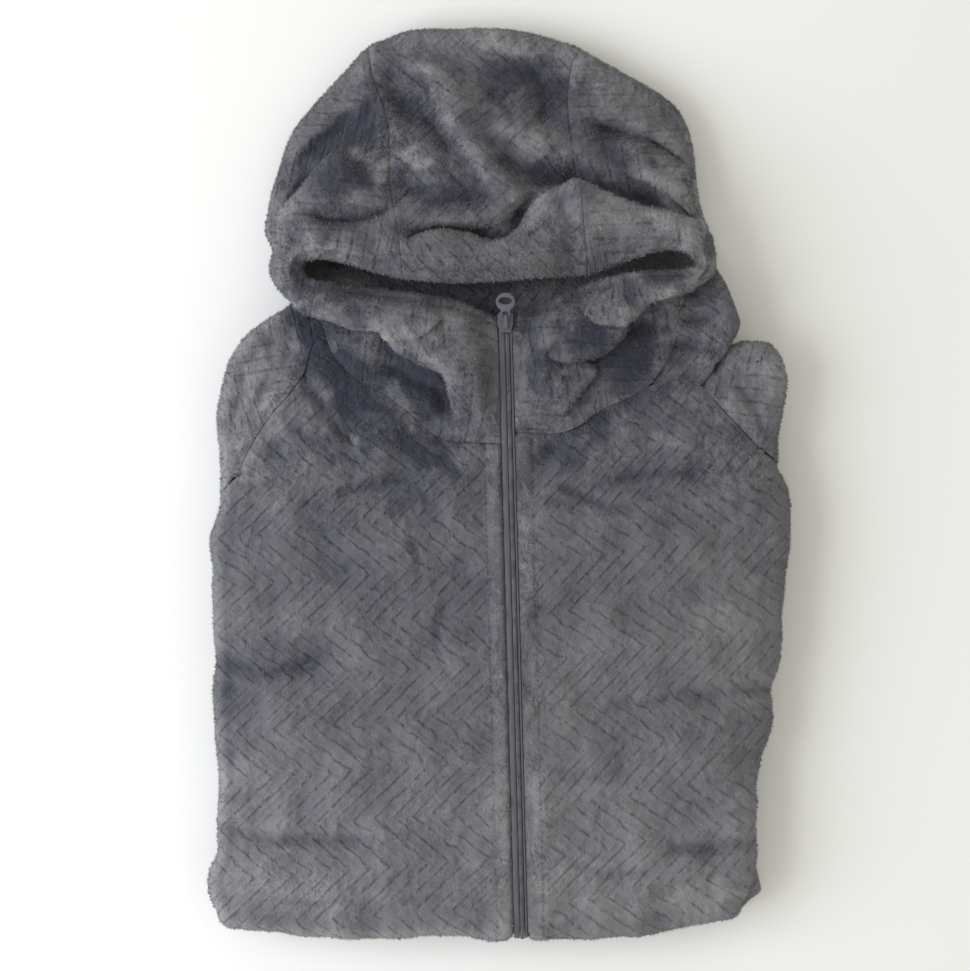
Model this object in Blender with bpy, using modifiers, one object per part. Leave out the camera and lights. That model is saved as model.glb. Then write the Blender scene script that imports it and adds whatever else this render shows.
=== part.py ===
"""Hooded fleece robe with a zip front, folded flat and lying face up with its hood above it.

Frame: X to the wearer's left, Y from the folded hem end to the hood, Z up from the table.
All the sizes below are in millimetres. The names right and left are the wearer's.
"""
import math
from collections import namedtuple

import bmesh
import bpy
import numpy as np

MM = 0.001

# Cloth
WALL = 3.0            # plush fleece, pressed flat
SEAM_GAP = 0.4        # between two pieces at a seam
SEAM_DRAW = 0.7       # each hood piece drawn in from its seam, across the bend there
LAYER_GAP = 1.1       # between a panel and the layers under it

# Folded bundle
EDGE_TOP = 41.0       # height where the top layer starts to turn down
CROWN = 5.0           # rise of the bundle from its edges to its middle
CROWN_REACH = 30.0    # how far in from the edge most of that rise takes place
ROLL = 11.0           # outer radius of the folded edges
TURN = math.radians(160)
ROLL_STEPS = 5
CORNER_BLEND = 0.9    # share of a front's width past which its foot meets the corner
CORNER_STRAIGHT = 12.0  # length over which the side straightens towards the corner

# Neck hollow behind the collar
NECK_DROP = 12.0
NECK_START = 48.0
NECK_END = 112.0
NECK_HALF_WIDTH = 46.0
NECK_SIDE_FADE = 64.0
HOOD_SEAT = WALL + 5.0   # the layers lie lower by this where the hood's back lies on them
SEAT_START = 40.0
SEAT_END = 68.0
SEAT_HALF_WIDTH = 130.0
SEAT_SIDE_FADE = 26.0

# Zip
ZIP_X = 6.8           # the closed zip crosses Y = 0 here
ZIP_LEAN = -0.0262    # change of X for each unit of Y
ZIP_HALF = 4.5        # from the zip's middle line to the cloth edges
TAPE_THICK = 1.2
TAPE_SUNK = 0.9       # tape face under the cloth face
COIL_WIDTH = 2.7
COIL_THICK = 1.9
COIL_SUNK = 0.5
COIL_LEFT = COIL_WIDTH - 0.2   # the coil lies to the left of the middle line
ZIP_CLEAR = 0.3
ZIP_TOP = 98.0
CALM_NEAR = 5.0       # folds fade out between these distances from the zip
CALM_FAR = 20.0

# Hood
LIP_ROLL = 6.0        # radius of the turned front edge
LIP_TURN = math.radians(150)
LIP_STEPS = 3
HOOD_STEPS = 7
EDGE_STEPS = 4
NECK_CALM_NEAR = 2.0  # the collar's folds fade out towards the neck seam
NECK_CALM_FAR = 16.0
EDGE_CALM = 0.75      # the hood's folds fade out from this share of a section to its edge

Point = namedtuple("Point", "x y")
Side = namedtuple("Side", "y x")
Fold = namedtuple("Fold", "x0 y0 x1 y1 x2 y2 rise width")
SleeveRow = namedtuple("SleeveRow", "seam_x seam_y edge_x edge_y")
HoodRow = namedtuple("HoodRow", "rim_x rim_y edge_x edge_y rim_z mid_z edge_z roll")
Ring = namedtuple("Ring", "inset z")

# Silhouette of the folded body, from the armhole down
RIGHT_SIDE = [Side(*row) for row in (
    (4, -180.5), (-14, -180.5), (-36, -184.5), (-62, -186.6), (-87, -185.3), (-113, -183),
    (-139, -182), (-164, -181), (-190, -179), (-215, -179), (-237, -180.5), (-250, -185.5),
    (-261, -185), (-273, -179.5))]
LEFT_SIDE = [Side(*row) for row in (
    (20, 178.5), (8, 179), (-7, 185), (-23, 187), (-49, 185), (-75, 181.5), (-100, 181),
    (-113, 180), (-127, 175), (-144, 175), (-159, 173), (-176, 168), (-192, 164.5),
    (-209, 164.5), (-231, 165.5), (-248, 163), (-260, 159), (-268, 156))]
BOTTOM = [Point(*row) for row in (
    (-168.5, -284), (-132, -288), (-96, -291), (-60, -290.5), (-36, -289), (0, -291.5),
    (21, -291.5), (77, -290.5), (107, -286.5), (128, -282), (145, -279))]
BACK_EDGE = [Point(*row) for row in ((-124, 113), (-100, 114), (0, 114), (100, 112), (126, 102))]

# Neck seam from the zip to the shoulder, then the armhole seam down to the folded side
RIGHT_NECK = [Point(*row) for row in (
    (1.6, 25.3), (-14, 26), (-29, 26.5), (-43, 32), (-56, 44), (-72, 56), (-90, 66), (-104, 80))]
RIGHT_ARMHOLE = [Point(*row) for row in (
    (-112, 97), (-118, 86), (-123, 71), (-132, 57), (-143, 45), (-154, 29), (-165, 12.5),
    (-169.5, 4))]
LEFT_NECK = [Point(*row) for row in (
    (10.5, 33), (24, 32), (38, 32), (50, 36), (64, 46), (78, 52.6), (94, 61), (112, 66))]
LEFT_ARMHOLE = [Point(*row) for row in (
    (129, 61.6), (137.5, 52), (145, 43.7), (153, 35.5), (161, 27), (167.5, 20))]

# Sleeve heads: a row from the armhole seam to the folded edge
RIGHT_SLEEVE = [SleeveRow(*row) for row in (
    (-112, 97, -135, 113), (-118, 86, -157, 98), (-123, 71, -171, 80), (-132, 57, -177, 60),
    (-143, 45, -180, 42), (-154, 29, -181, 26), (-165, 12.5, -181, 12), (-169.5, 4, -180.5, 4))]
LEFT_SLEEVE = [SleeveRow(*row) for row in (
    (139, 73, 147, 87), (133, 66.5, 160, 91), (129, 61.6, 176, 87), (137.5, 52, 184, 68),
    (145, 43.7, 182.5, 51), (153, 35.5, 180, 37), (161, 27, 178, 28), (167.5, 20, 178.5, 20))]
SIDE_SEAM_DROP = 1.8   # seam gap, wider where the seam turns round the side
SIDE_SHEAR = {-1: 0.9, 1: 0.65}   # how much the armhole seam runs down as it turns round the side

# Hood and collar: a row for each section, from the turned front edge (rim) outward.
# edge_z of None ends on the neck seam, at the front's own height.
HOOD_RIGHT = [HoodRow(*row) for row in (
    (-0.6, 104.5, 1.6, 25.3, 50, 49, None, 0), (-12, 110, -14, 26, 51, 49, None, 0),
    (-24, 115, -29, 26.5, 52, 50, None, 0), (-39, 118, -43, 32, 52, 51, None, 0),
    (-54, 120, -56, 44, 52, 51, None, 0), (-72, 122.5, -72, 56, 52, 52, None, 0),
    (-90, 126, -90, 66, 52, 52, None, 0), (-106, 129.5, -104, 80, 52, 53, None, 0),
    (-117, 132, -112, 98.5, 52, 54, 47, 0), (-124, 134, -127, 111.5, 52, 54, 46.5, 0),
    (-127.5, 136, -138, 121, 52, 52, 44, 7), (-127.5, 138, -146, 135, 52, 50, 39, 9),
    (-125, 140, -149, 151, 53, 48, 34, 10), (-118, 140.5, -147.5, 173, 55, 45, 29, 10),
    (-107, 140, -143, 197, 56, 44, 25, 10), (-94, 138, -132, 227, 56, 43, 23.4, 10),
    (-78, 133.5, -110, 254, 56, 43, 23.4, 10), (-60, 129, -85, 278, 56, 42, 23.4, 10))]
HOOD_CENTRE = [HoodRow(*row) for row in (
    (-60, 129, -85, 278, 56, 42, 23.4, 10), (-36, 127, -57, 289, 56, 41, 23.4, 10),
    (-12, 127, -28, 291.7, 56, 40, 23.4, 10), (12, 128.5, 0, 291.7, 56, 40, 23.4, 10),
    (36, 130.5, 27, 287.5, 56, 41, 23.4, 10), (57, 132, 51, 281, 56, 42, 23.4, 10))]
HOOD_LEFT = [HoodRow(*row) for row in (
    (57, 132, 51, 281, 56, 42, 23.4, 10), (72, 137, 79, 264, 56, 42, 23.4, 10),
    (86, 142, 105, 245, 56, 43, 23.4, 10), (99, 146, 121, 222, 56, 44, 24, 10),
    (110, 147, 127, 196, 55, 45, 27, 10), (118, 145.5, 130, 174, 54, 47, 32, 9),
    (123, 142, 137, 156, 53, 48, 37, 8), (125, 138.5, 138.5, 142, 53, 49, 42, 7),
    (123, 136, 135, 131, 53, 52, 46, 6), (115, 134.5, 121, 121, 53, 54, 50, 0),
    (102, 134, 112, 108, 53, 54, 50, 0), (88, 133, 111, 94, 53, 53, 50, 0),
    (74, 131, 105, 79, 52, 52, 49, 0), (60, 128, 94, 61, 52, 52, None, 0),
    (47, 122.5, 78, 52.6, 52, 52, None, 0), (37, 118, 64, 46, 52, 51, None, 0),
    (28, 114.5, 50, 36, 52, 51, None, 0), (20, 113, 38, 32, 51, 50, None, 0),
    (14, 110.5, 24, 32, 51, 49, None, 0), (8.5, 105.5, 10.5, 33, 50, 49, None, 0))]

# Back of the hood: its own edges, under the hood and out past the collar on the left shoulder
BACK_RIGHT_EDGE = [Side(*row) for row in (
    (96, -98), (112, -118), (130, -131), (140, -136), (150, -139), (173, -140), (197, -135.5),
    (227, -124.5), (251, -104), (270, -84), (284, -64))]
BACK_LEFT_EDGE = [Side(*row) for row in (
    (74, 136.5), (87, 146.5), (101, 154), (117, 149), (130, 145), (143, 139), (160, 127), (194, 119),
    (213, 114), (233, 104), (247, 91), (262, 68), (275, 47), (284, 38))]
BACK_LOWER = [Point(*row) for row in (
    (-98, 96), (-76, 84), (-40, 76), (20, 72), (70, 65), (98, 63.5), (112, 67.5), (124, 66.5),
    (130.5, 68), (136.5, 74.5))]
BACK_TABLE_Y = 158.0
BACK_BUNDLE_Y = 116.0
BACK_EDGE_DROP = 14.0
BACK_EDGE_REACH = 9.0
BACK_RISE = 6.0         # of the part that shows past the collar, and where it fades in
BACK_SHOWS = (100, 120)
BACK_RISES = (66, 92)
BACK_FALLS = (82, 96)
BACK_LIFT = 3.4         # above the layers
BACK_TABLE_LIFT = 0.05  # above the table

# Largest folds: ridges rise above zero, troughs below
BODY_FOLDS = [Fold(*row) for row in (
    (-122, 70, -113, 52, -97, 32, -2.6, 7), (-136, 84, -128, 74, -123, 66, -2.0, 8),
    (-108, 62, -92, 44, -78, 24, 2.2, 13), (-98, -6, -82, -2, -60, 4, -1.8, 7),
    (-182, -113, -150, -120, -120, -116, -2.6, 10), (-160, -96, -110, -94, -60, -104, 1.6, 20),
    (-175, -220, -142, -226, -82, -228, -2.4, 8), (-150, -252, -90, -254, -30, -246, 1.8, 16),
    (82, 52, 60, 41, 28, 14, -2.6, 10), (42, -2, 63, -13, 82, -17, -1.8, 7),
    (72, 2, 97, 6, 122, 6, -2.0, 8), (60, 30, 96, 38, 124, 44, 1.8, 14),
    (77, -140, 100, -138, 123, -131, -1.8, 8), (126, -137, 150, -133, 175, -129, -2.6, 8),
    (114, -232, 140, -232, 166, -229, -2.4, 8), (60, -90, 110, -92, 160, -84, 1.6, 20),
    (40, -200, 90, -196, 140, -202, 1.5, 18))]
HOOD_FOLDS = [Fold(*row) for row in (
    (-22, 157, 0, 152, 24, 160, -9, 7), (24, 162, 36, 178, 60, 186, -6, 7),
    (60, 188, 86, 179, 118, 168, -7, 8), (-57, 160, -20, 171, 20, 178, 3, 8),
    (-116, 166, -98, 166, -78, 168, -5, 7), (-113, 204, -138, 180, -147, 153, 4, 6),
    (-125, 212, -106, 218, -100, 232, -5, 12), (-62, 277, -27, 238, -2, 192, 4, 10),
    (30, 250, 34, 232, 28, 212, -5, 18), (-64, 244, -54, 236, -46, 226, -4, 14),
    (80, 228, 104, 216, 118, 206, -4, 9), (62, 172, 84, 160, 118, 156, 3, 9),
    (-60, 196, -30, 186, -6, 186, -4, 12))]
COLLAR_FOLDS = [Fold(*row) for row in (
    (-98, 80, -58, 68, -30, 48, -3.4, 8), (-118, 116, -76, 102, -38, 74, 6, 10),
    (60, 92, 72, 84, 92, 76, -4.5, 11), (34, 96, 50, 92, 62, 100, 5, 12),
    (30, 62, 42, 64, 50, 60, 3.5, 11), (70, 118, 96, 122, 120, 128, 2.5, 8))]
BACK_FOLDS = [Fold(*row) for row in (
    (112, 80, 124, 90, 128, 104, -2.5, 6), (132, 94, 140, 106, 138, 122, 2.5, 8))]

# Side of the hidden layers, from the table up: two folded layers, then a groove that takes
# the front's turned edge, then the rounded edge that the front turns over
LAYER_SIDE = [Ring(*row) for row in (
    (10, 0), (5.5, 1.0), (3.4, 5.0), (5.0, 9.0), (8.5, 10.2), (5.0, 11.4), (3.8, 14.5),
    (5.6, 17.2), (16, 18.2))]
LAYER_TOP = EDGE_TOP - WALL - LAYER_GAP
LAYER_ROLL = 5.8
LAYER_RINGS = (0.84, 0.62, 0.36, 0.1)
LAYER_POINTS = 72
NEAR_BY = 10.0
SHOULDER_INSET = 5.0   # fades out over the first rows of the sleeve
SHOULDER_ROWS = 4
SPINE_X = 2.0
SPINE_LOW = -190.0
SPINE_HIGH = 20.0

# Slider and pull
SLIDER_Y = 101.5
SLIDER_WIDTH = 9.9
SLIDER_LENGTH = 12.4
SLIDER_THICK = 2.6
SLIDER_NOSE = 6.4
SLIDER_WAIST = -0.2    # shares of its half length between which the slider is widest
SLIDER_SHOULDER = 0.8
SLIDER_CHAMFER = 1.2
SLIDER_SEAT = 0.35     # above the cloth's highest point under it
SLIDER_REACH = 0.2     # of it past the cloth's turned top edge
BRIDGE_WIDTH = 2.4
BRIDGE_LENGTH = 8.4
BRIDGE_WALL = 1.3
BRIDGE_HOLE = 2.2
BRIDGE_ROOT = 0.5      # of the bridge inside the slider's body
BAR_CLEAR = 0.5        # between the pull's crossbar and the bridge's end
PULL_THICK = 1.2
PULL_LENGTH = 17.0
PULL_RING = 6.0
PULL_HOLE_LONG = 4.3
PULL_HOLE_WIDE = 2.3
PULL_NECK = 3.1
PULL_WINDOW = 1.7
PULL_WINDOW_LENGTH = 4.2
PULL_SHOULDER = 5.2    # past the crossbar, where the ring end starts
PULL_ARC = 150         # degrees each way from the tip
PULL_RING_FLAT = 0.95
PULL_HOLE_AHEAD = 0.6

MATERIALS = {
    "plush": ((0.112, 0.112, 0.120), 0.95, 0.0),
    "zip_tape": ((0.085, 0.082, 0.110), 0.8, 0.0),
    "zip_coil": ((0.07, 0.068, 0.09), 0.5, 0.0),
    "zip_metal": ((0.16, 0.16, 0.20), 0.42, 0.6),
}


def smooth_curve(points, steps=8, closed=False):
    """Catmull-Rom curve through the points."""
    pts = np.array(points, float)
    if closed:
        ext = np.vstack([pts[-1:], pts, pts[:2]])
    else:
        ext = np.vstack([2 * pts[0] - pts[1], pts, 2 * pts[-1] - pts[-2]])
    out = []
    for i in range(1, len(ext) - 2):
        a, b, c, d = ext[i - 1:i + 3]
        for t in np.arange(steps) / steps:
            out.append(0.5 * (2 * b + (c - a) * t + (2 * a - 5 * b + 4 * c - d) * t * t
                              + (3 * b - a - 3 * c + d) * t ** 3))
    if not closed:
        out.append(ext[-2])
    return np.array(out)


def resampled(curve, count, closed=False):
    """The curve's points spaced evenly along it."""
    line = np.vstack([curve, curve[:1]]) if closed else curve
    run = np.concatenate([[0], np.cumsum(np.linalg.norm(np.diff(line, axis=0), axis=1))])
    stops = np.linspace(0, run[-1], count + 1 if closed else count)
    if closed:
        stops = stops[:-1]
    return np.stack([np.interp(stops, run, line[:, k]) for k in range(line.shape[1])], axis=1)


def distance_to(line, x, y):
    """Shortest distance from each (x, y) to a polyline."""
    p = np.stack([np.asarray(x, float), np.asarray(y, float)], axis=-1)[..., None, :]
    a, b = line[:-1], line[1:]
    ab = b - a
    t = np.clip(((p - a) * ab).sum(-1) / np.maximum((ab ** 2).sum(-1), 1e-9), 0, 1)
    return np.linalg.norm(p - (a + t[..., None] * ab), axis=-1).min(-1)


def smoothstep(value, low, high):
    t = np.clip((value - low) / (high - low), 0, 1)
    return t * t * (3 - 2 * t)


def fold_height(folds, x, y):
    """Sum of the soft ridges and troughs at (x, y)."""
    total = np.zeros(np.shape(x))
    for f in folds:
        t = np.linspace(0, 1, 9)[:, None]
        ends = np.array([[f.x0, f.y0], [f.x1, f.y1], [f.x2, f.y2]], float)
        bend = 2 * ends[1] - (ends[0] + ends[2]) / 2
        line = (1 - t) ** 2 * ends[0] + 2 * t * (1 - t) * bend + t ** 2 * ends[2]
        total = total + f.rise * np.exp(-(distance_to(line, x, y) / f.width) ** 2)
    return total


def zip_x(y):
    return ZIP_X + ZIP_LEAN * np.asarray(y, float)


def calm(x, y):
    """Nought on the zip and one away from it, for folds."""
    return smoothstep(np.abs(x - zip_x(y)), CALM_NEAR, CALM_FAR)


def corner(side, bottom, sign):
    """The sharp corner of the line where the top layer starts to turn down."""
    return np.array([side[-1].x - sign * ROLL, bottom.y + ROLL])


RIGHT_CORNER = corner(RIGHT_SIDE, BOTTOM[0], -1)
LEFT_CORNER = corner(LEFT_SIDE, BOTTOM[-1], 1)


def corner_arc(centre, start, stop):
    """Round corner of the silhouette about the corner of the turning line."""
    angles = np.radians(np.linspace(start, stop, 4))[1:-1]
    return [Point(*(centre + ROLL * np.array([math.cos(a), math.sin(a)]))) for a in angles]


def shoulder(rows):
    """The sleeve's silhouette, drawn in towards its armhole over the first rows."""
    points = []
    for k, row in enumerate(rows):
        edge = np.array([row.edge_x, row.edge_y], float)
        inward = np.array([row.seam_x, row.seam_y], float) - edge
        share = SHOULDER_INSET * max(0, 1 - k / SHOULDER_ROWS)
        points.append(Point(*(edge + inward / np.linalg.norm(inward) * share)))
    return points


def bundle_outline():
    """Closed silhouette of the folded bundle, anticlockwise from its right shoulder."""
    right = shoulder(RIGHT_SLEEVE[:-1])
    right += [Point(row.x, row.y) for row in RIGHT_SIDE]
    left = [Point(row.x, row.y) for row in reversed(LEFT_SIDE)]
    left += shoulder(LEFT_SLEEVE[:-1])[::-1]
    points = right + corner_arc(RIGHT_CORNER, 180, 270) + BOTTOM
    points += corner_arc(LEFT_CORNER, -90, 0) + left + BACK_EDGE[::-1]
    return smooth_curve(points, steps=6, closed=True)


OUTLINE = bundle_outline()
OUTLINE_LOOP = np.vstack([OUTLINE, OUTLINE[:1]])


def body_height(x, y):
    """Top of the cloth over the folded body."""
    inside = np.maximum(distance_to(OUTLINE_LOOP, x, y) - ROLL, 0)
    crown = EDGE_TOP + CROWN * (1 - np.exp(-inside / CROWN_REACH))
    return crown + calm(x, y) * fold_height(BODY_FOLDS, x, y)


def neck_drop(x, y):
    """How far the layers behind the collar lie below the body's top."""
    across = 1 - smoothstep(np.abs(x - SPINE_X), NECK_HALF_WIDTH, NECK_HALF_WIDTH + NECK_SIDE_FADE)
    return NECK_DROP * across * smoothstep(y, NECK_START, NECK_END)


def hood_seat(x, y):
    across = 1 - smoothstep(np.abs(x - SPINE_X), SEAT_HALF_WIDTH, SEAT_HALF_WIDTH + SEAT_SIDE_FADE)
    return HOOD_SEAT * across * smoothstep(y, SEAT_START, SEAT_END)


def layers_height(x, y):
    """Top of the hidden layers: under the lowest cloth near by."""
    around = [body_height(x, y)]
    for k in range(8):
        angle = k * math.pi / 4
        around.append(body_height(x + NEAR_BY * math.cos(angle), y + NEAR_BY * math.sin(angle)))
    lowest = np.minimum.reduce(around)
    return lowest - WALL - LAYER_GAP - neck_drop(x, y) - hood_seat(x, y)


def side_line(rows, y, sign):
    """Where the front starts to turn down, and its outward direction, at each y."""
    curve = smooth_curve([(row.y, row.x) for row in rows])[::-1]
    x = np.interp(y, curve[:, 0], curve[:, 1]) - sign * ROLL
    slope = np.interp(y, curve[:, 0], np.gradient(curve[:, 1], curve[:, 0]))
    slope = slope * smoothstep(y, rows[-1].y, rows[-1].y + CORNER_STRAIGHT)
    size = np.sqrt(1 + slope ** 2)
    return x, sign / size, -sign * slope / size


def bottom_line(x):
    curve = smooth_curve(BOTTOM)
    return np.interp(x, curve[:, 0], curve[:, 1]) + ROLL


def front_point(sign, rows, s, y_top, t, side_turn, bottom_turn):
    """One point of a front. s runs from the zip to the side, t from the top seam to the hem
    fold, and the turns are angles round the folded edges."""
    foot = RIGHT_CORNER if sign < 0 else LEFT_CORNER
    seam_y = y_top - SIDE_SHEAR[sign] * ROLL * side_turn
    y = seam_y
    for _ in range(4):
        low = bottom_line(zip_x(y) + s * (side_line(rows, y, sign)[0] - zip_x(y)))
        low = low + (foot[1] - low) * smoothstep(s, CORNER_BLEND, 1.0)
        y = seam_y + t * (low - seam_y)
    side_x, normal_x, normal_y = side_line(rows, y, sign)
    start = zip_x(y) + sign * ZIP_HALF
    x = start + s * (side_x - start)
    z = float(body_height(x, y))
    turn = max(side_turn, bottom_turn)
    if turn <= 0:
        return x, y, z
    mix = math.atan2(bottom_turn, side_turn)
    out_x = normal_x * math.cos(mix)
    out_y = normal_y * math.cos(mix) - math.sin(mix)
    size = math.hypot(out_x, out_y)
    reach = ROLL * math.sin(turn)
    return x + out_x / size * reach, y + out_y / size * reach, z - ROLL * (1 - math.cos(turn))


def front_grid(sign, neck, armhole, rows, down=13):
    top = list(neck) + list(armhole)
    columns = []
    for p in top:
        start = float(zip_x(p.y)) + sign * ZIP_HALF
        side_x = float(side_line(rows, min(p.y, rows[0].y), sign)[0])
        columns.append(((p.x - start) / (side_x - start), p.y, 0.0))
    columns[0] = (0.0, top[0].y, 0.0)
    columns[-1] = (1.0, top[-1].y, 0.0)
    turns = np.linspace(0, TURN, ROLL_STEPS + 1)[1:]
    columns += [(1.0, top[-1].y, turn) for turn in turns]
    levels = [(t, 0.0) for t in np.linspace(0, 1, down)] + [(1.0, turn) for turn in turns]
    return np.array([[front_point(sign, rows, s, y_top, t, side, bottom) for s, y_top, side in columns]
                     for t, bottom in levels], float)


def edge_normals(points):
    """Outward directions along a silhouette given in anticlockwise order."""
    tangent = np.gradient(np.array(points, float), axis=0)
    normal = np.stack([tangent[:, 1], -tangent[:, 0]], axis=1)
    return normal / np.linalg.norm(normal, axis=1)[:, None]


def sleeve_grid(sign, rows, side_rows, across=4):
    order = rows if sign < 0 else rows[::-1]
    edges = [(row.edge_x, row.edge_y) for row in order]
    normals = edge_normals(edges)
    if sign > 0:
        normals = normals[::-1]
    grid = []
    for k, row in enumerate(rows):
        edge = np.array([row.edge_x, row.edge_y], float)
        if k == len(rows) - 1:
            normals[k] = (sign, 0)
        base = edge - ROLL * normals[k]
        seam = np.array([row.seam_x, row.seam_y], float)
        ahead = np.array([sign, 1]) * SEAM_GAP * math.sqrt(0.5)
        seam = seam + ahead
        base = base + ahead if k == len(rows) - 1 else base
        line = [seam + (base - seam) * s for s in np.linspace(0, 1, across + 1)]
        points = [(p[0], p[1], float(body_height(p[0], p[1]))) for p in line]
        follow = float(smoothstep(k, len(rows) - 4, len(rows) - 1))
        for turn in np.linspace(0, TURN, ROLL_STEPS + 1)[1:]:
            x, y = base + normals[k] * ROLL * math.sin(turn)
            here = np.array([x, y, points[across][2] - ROLL * (1 - math.cos(turn))])
            seam_y = rows[-1].seam_y
            beside = np.array(front_point(sign, side_rows, 1.0, seam_y, 0.0, turn, 0.0))
            beside = beside + np.array([0, SIDE_SEAM_DROP + edge[1] - rows[-1].edge_y, 0])
            points.append(tuple(here + (beside - here) * follow))
        grid.append(points)
    return np.array(grid, float)


def hood_grid(rows, seam_start, seam_end):
    """Sections from inside the turned rim, over the lip and the hood, round the outer edge."""
    neck_line = np.array([(row.edge_x, row.edge_y) for row in rows if row.edge_z is None], float)
    grid = []
    for row in rows:
        rim = np.array([row.rim_x, row.rim_y], float)
        edge = np.array([row.edge_x, row.edge_y], float)
        ahead = (edge - rim) / np.linalg.norm(edge - rim)
        on_seam = row.edge_z is None
        edge_z = float(body_height(*edge)) if on_seam else row.edge_z
        start = rim + ahead * LIP_ROLL
        stop = edge - ahead * max(row.roll, SEAM_GAP)
        points = []
        for turn in np.linspace(LIP_TURN, 0, LIP_STEPS + 1)[:-1]:
            x, y = start - ahead * LIP_ROLL * math.sin(turn)
            points.append((x, y, row.rim_z - LIP_ROLL * (1 - math.cos(turn))))
        for t in np.linspace(0, 1, HOOD_STEPS + 1):
            x, y = start + (stop - start) * t
            z = row.rim_z * (1 - t) * (1 - 2 * t) + 4 * row.mid_z * t * (1 - t) + edge_z * t * (2 * t - 1)
            folds = fold_height(HOOD_FOLDS, x, y) + fold_height(COLLAR_FOLDS, x, y)
            if on_seam:
                folds = folds * smoothstep(float(distance_to(neck_line, x, y)), NECK_CALM_NEAR, NECK_CALM_FAR)
            else:
                folds = folds * (1 - smoothstep(t, EDGE_CALM, 1.0))
            points.append((x, y, z + float(calm(x, y)) * float(folds)))
        base_z = points[-1][2]
        for turn in np.linspace(0, TURN, EDGE_STEPS + 1)[1:]:
            if row.roll <= 0:
                break
            x, y = stop + ahead * row.roll * math.sin(turn)
            points.append((x, y, base_z - row.roll * (1 - math.cos(turn))))
        grid.append(points)
    return separated(grid, seam_start, seam_end)


def separated(grid, seam_start, seam_end):
    """Draws the first and last sections in from the seams, to leave a gap there."""
    for here, beside, wanted in ((0, 1, seam_start), (-1, -2, seam_end)):
        if not wanted:
            continue
        moved = []
        for p, q in zip(grid[here], grid[beside]):
            p, q = np.array(p), np.array(q)
            moved.append(tuple(p + (q - p) / np.linalg.norm(q - p) * SEAM_DRAW))
        grid[here] = moved
    return grid


def back_height(x, y):
    """Top of the hood's back: on the table, then up over the end of the bundle."""
    body = layers_height(x, np.minimum(y, BACK_BUNDLE_Y)) + BACK_LIFT + WALL
    climb = smoothstep(BACK_TABLE_Y - y, 0, BACK_TABLE_Y - BACK_BUNDLE_Y)
    low = WALL + BACK_TABLE_LIFT
    z = low + (body - low) * climb
    edge = smooth_curve([(row.y, row.x) for row in BACK_LEFT_EDGE])
    near = np.interp(y, edge[:, 0], edge[:, 1]) - x
    t = 1 - np.clip(near / BACK_EDGE_REACH, 0, 1)
    show = climb * smoothstep(x, *BACK_SHOWS)
    z = z + BACK_RISE * show * smoothstep(y, *BACK_RISES)
    falls = show * smoothstep(y, *BACK_FALLS)
    z = z - BACK_EDGE_DROP * falls * (1 - np.sqrt(np.maximum(1 - t * t, 0)))
    return z + show * fold_height(BACK_FOLDS, x, y)


def back_grid(across=16, along=17):
    right = smooth_curve([(row.y, row.x) for row in BACK_RIGHT_EDGE])
    left = smooth_curve([(row.y, row.x) for row in BACK_LEFT_EDGE])
    lower = smooth_curve(BACK_LOWER)
    grid = []
    for t in np.linspace(0, 1, along):
        line = []
        for s in np.linspace(0, 1, across):
            foot_x = BACK_LOWER[0].x + s * (BACK_LOWER[-1].x - BACK_LOWER[0].x)
            foot_y = np.interp(foot_x, lower[:, 0], lower[:, 1])
            y = foot_y + t * (BACK_RIGHT_EDGE[-1].y - foot_y)
            x_right = np.interp(y, right[:, 0], right[:, 1])
            x_left = np.interp(y, left[:, 0], left[:, 1])
            x = x_right + s * (x_left - x_right)
            line.append((x, y, float(back_height(x, y))))
        grid.append(line)
    return np.array(grid, float)


def new_object(name, mesh, material, collection):
    obj = bpy.data.objects.new(name, mesh)
    obj.data.materials.append(material)
    collection.objects.link(obj)
    return obj


def mesh_from_rows(name, rows):
    """Surface through rows of points; rows may differ in length, the longer one's tail is fanned."""
    bm = bmesh.new()
    verts = [[bm.verts.new([c * MM for c in p]) for p in row] for row in rows]
    for upper, lower in zip(verts, verts[1:]):
        shared = min(len(upper), len(lower))
        for k in range(shared - 1):
            bm.faces.new((upper[k], upper[k + 1], lower[k + 1], lower[k]))
        longer, end = (upper, lower[-1]) if len(upper) > len(lower) else (lower, upper[-1])
        for k in range(shared - 1, len(longer) - 1):
            bm.faces.new((longer[k], longer[k + 1], end))
    bmesh.ops.remove_doubles(bm, verts=bm.verts, dist=0.02 * MM)
    bmesh.ops.recalc_face_normals(bm, faces=bm.faces)
    if sum(f.normal.z * f.calc_area() for f in bm.faces) < 0:
        bmesh.ops.reverse_faces(bm, faces=bm.faces)
    mesh = bpy.data.meshes.new(name)
    bm.to_mesh(mesh)
    bm.free()
    mesh.shade_smooth()
    return mesh


def cloth(name, rows, material, collection):
    """A cloth panel: an open surface given its wall on the inner side."""
    obj = new_object(name, mesh_from_rows(name, rows), material, collection)
    wall = obj.modifiers.new("Wall", "SOLIDIFY")
    wall.thickness = WALL * MM
    wall.offset = -1
    wall.use_even_offset = True
    wall.thickness_clamp = 0
    return obj


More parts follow.
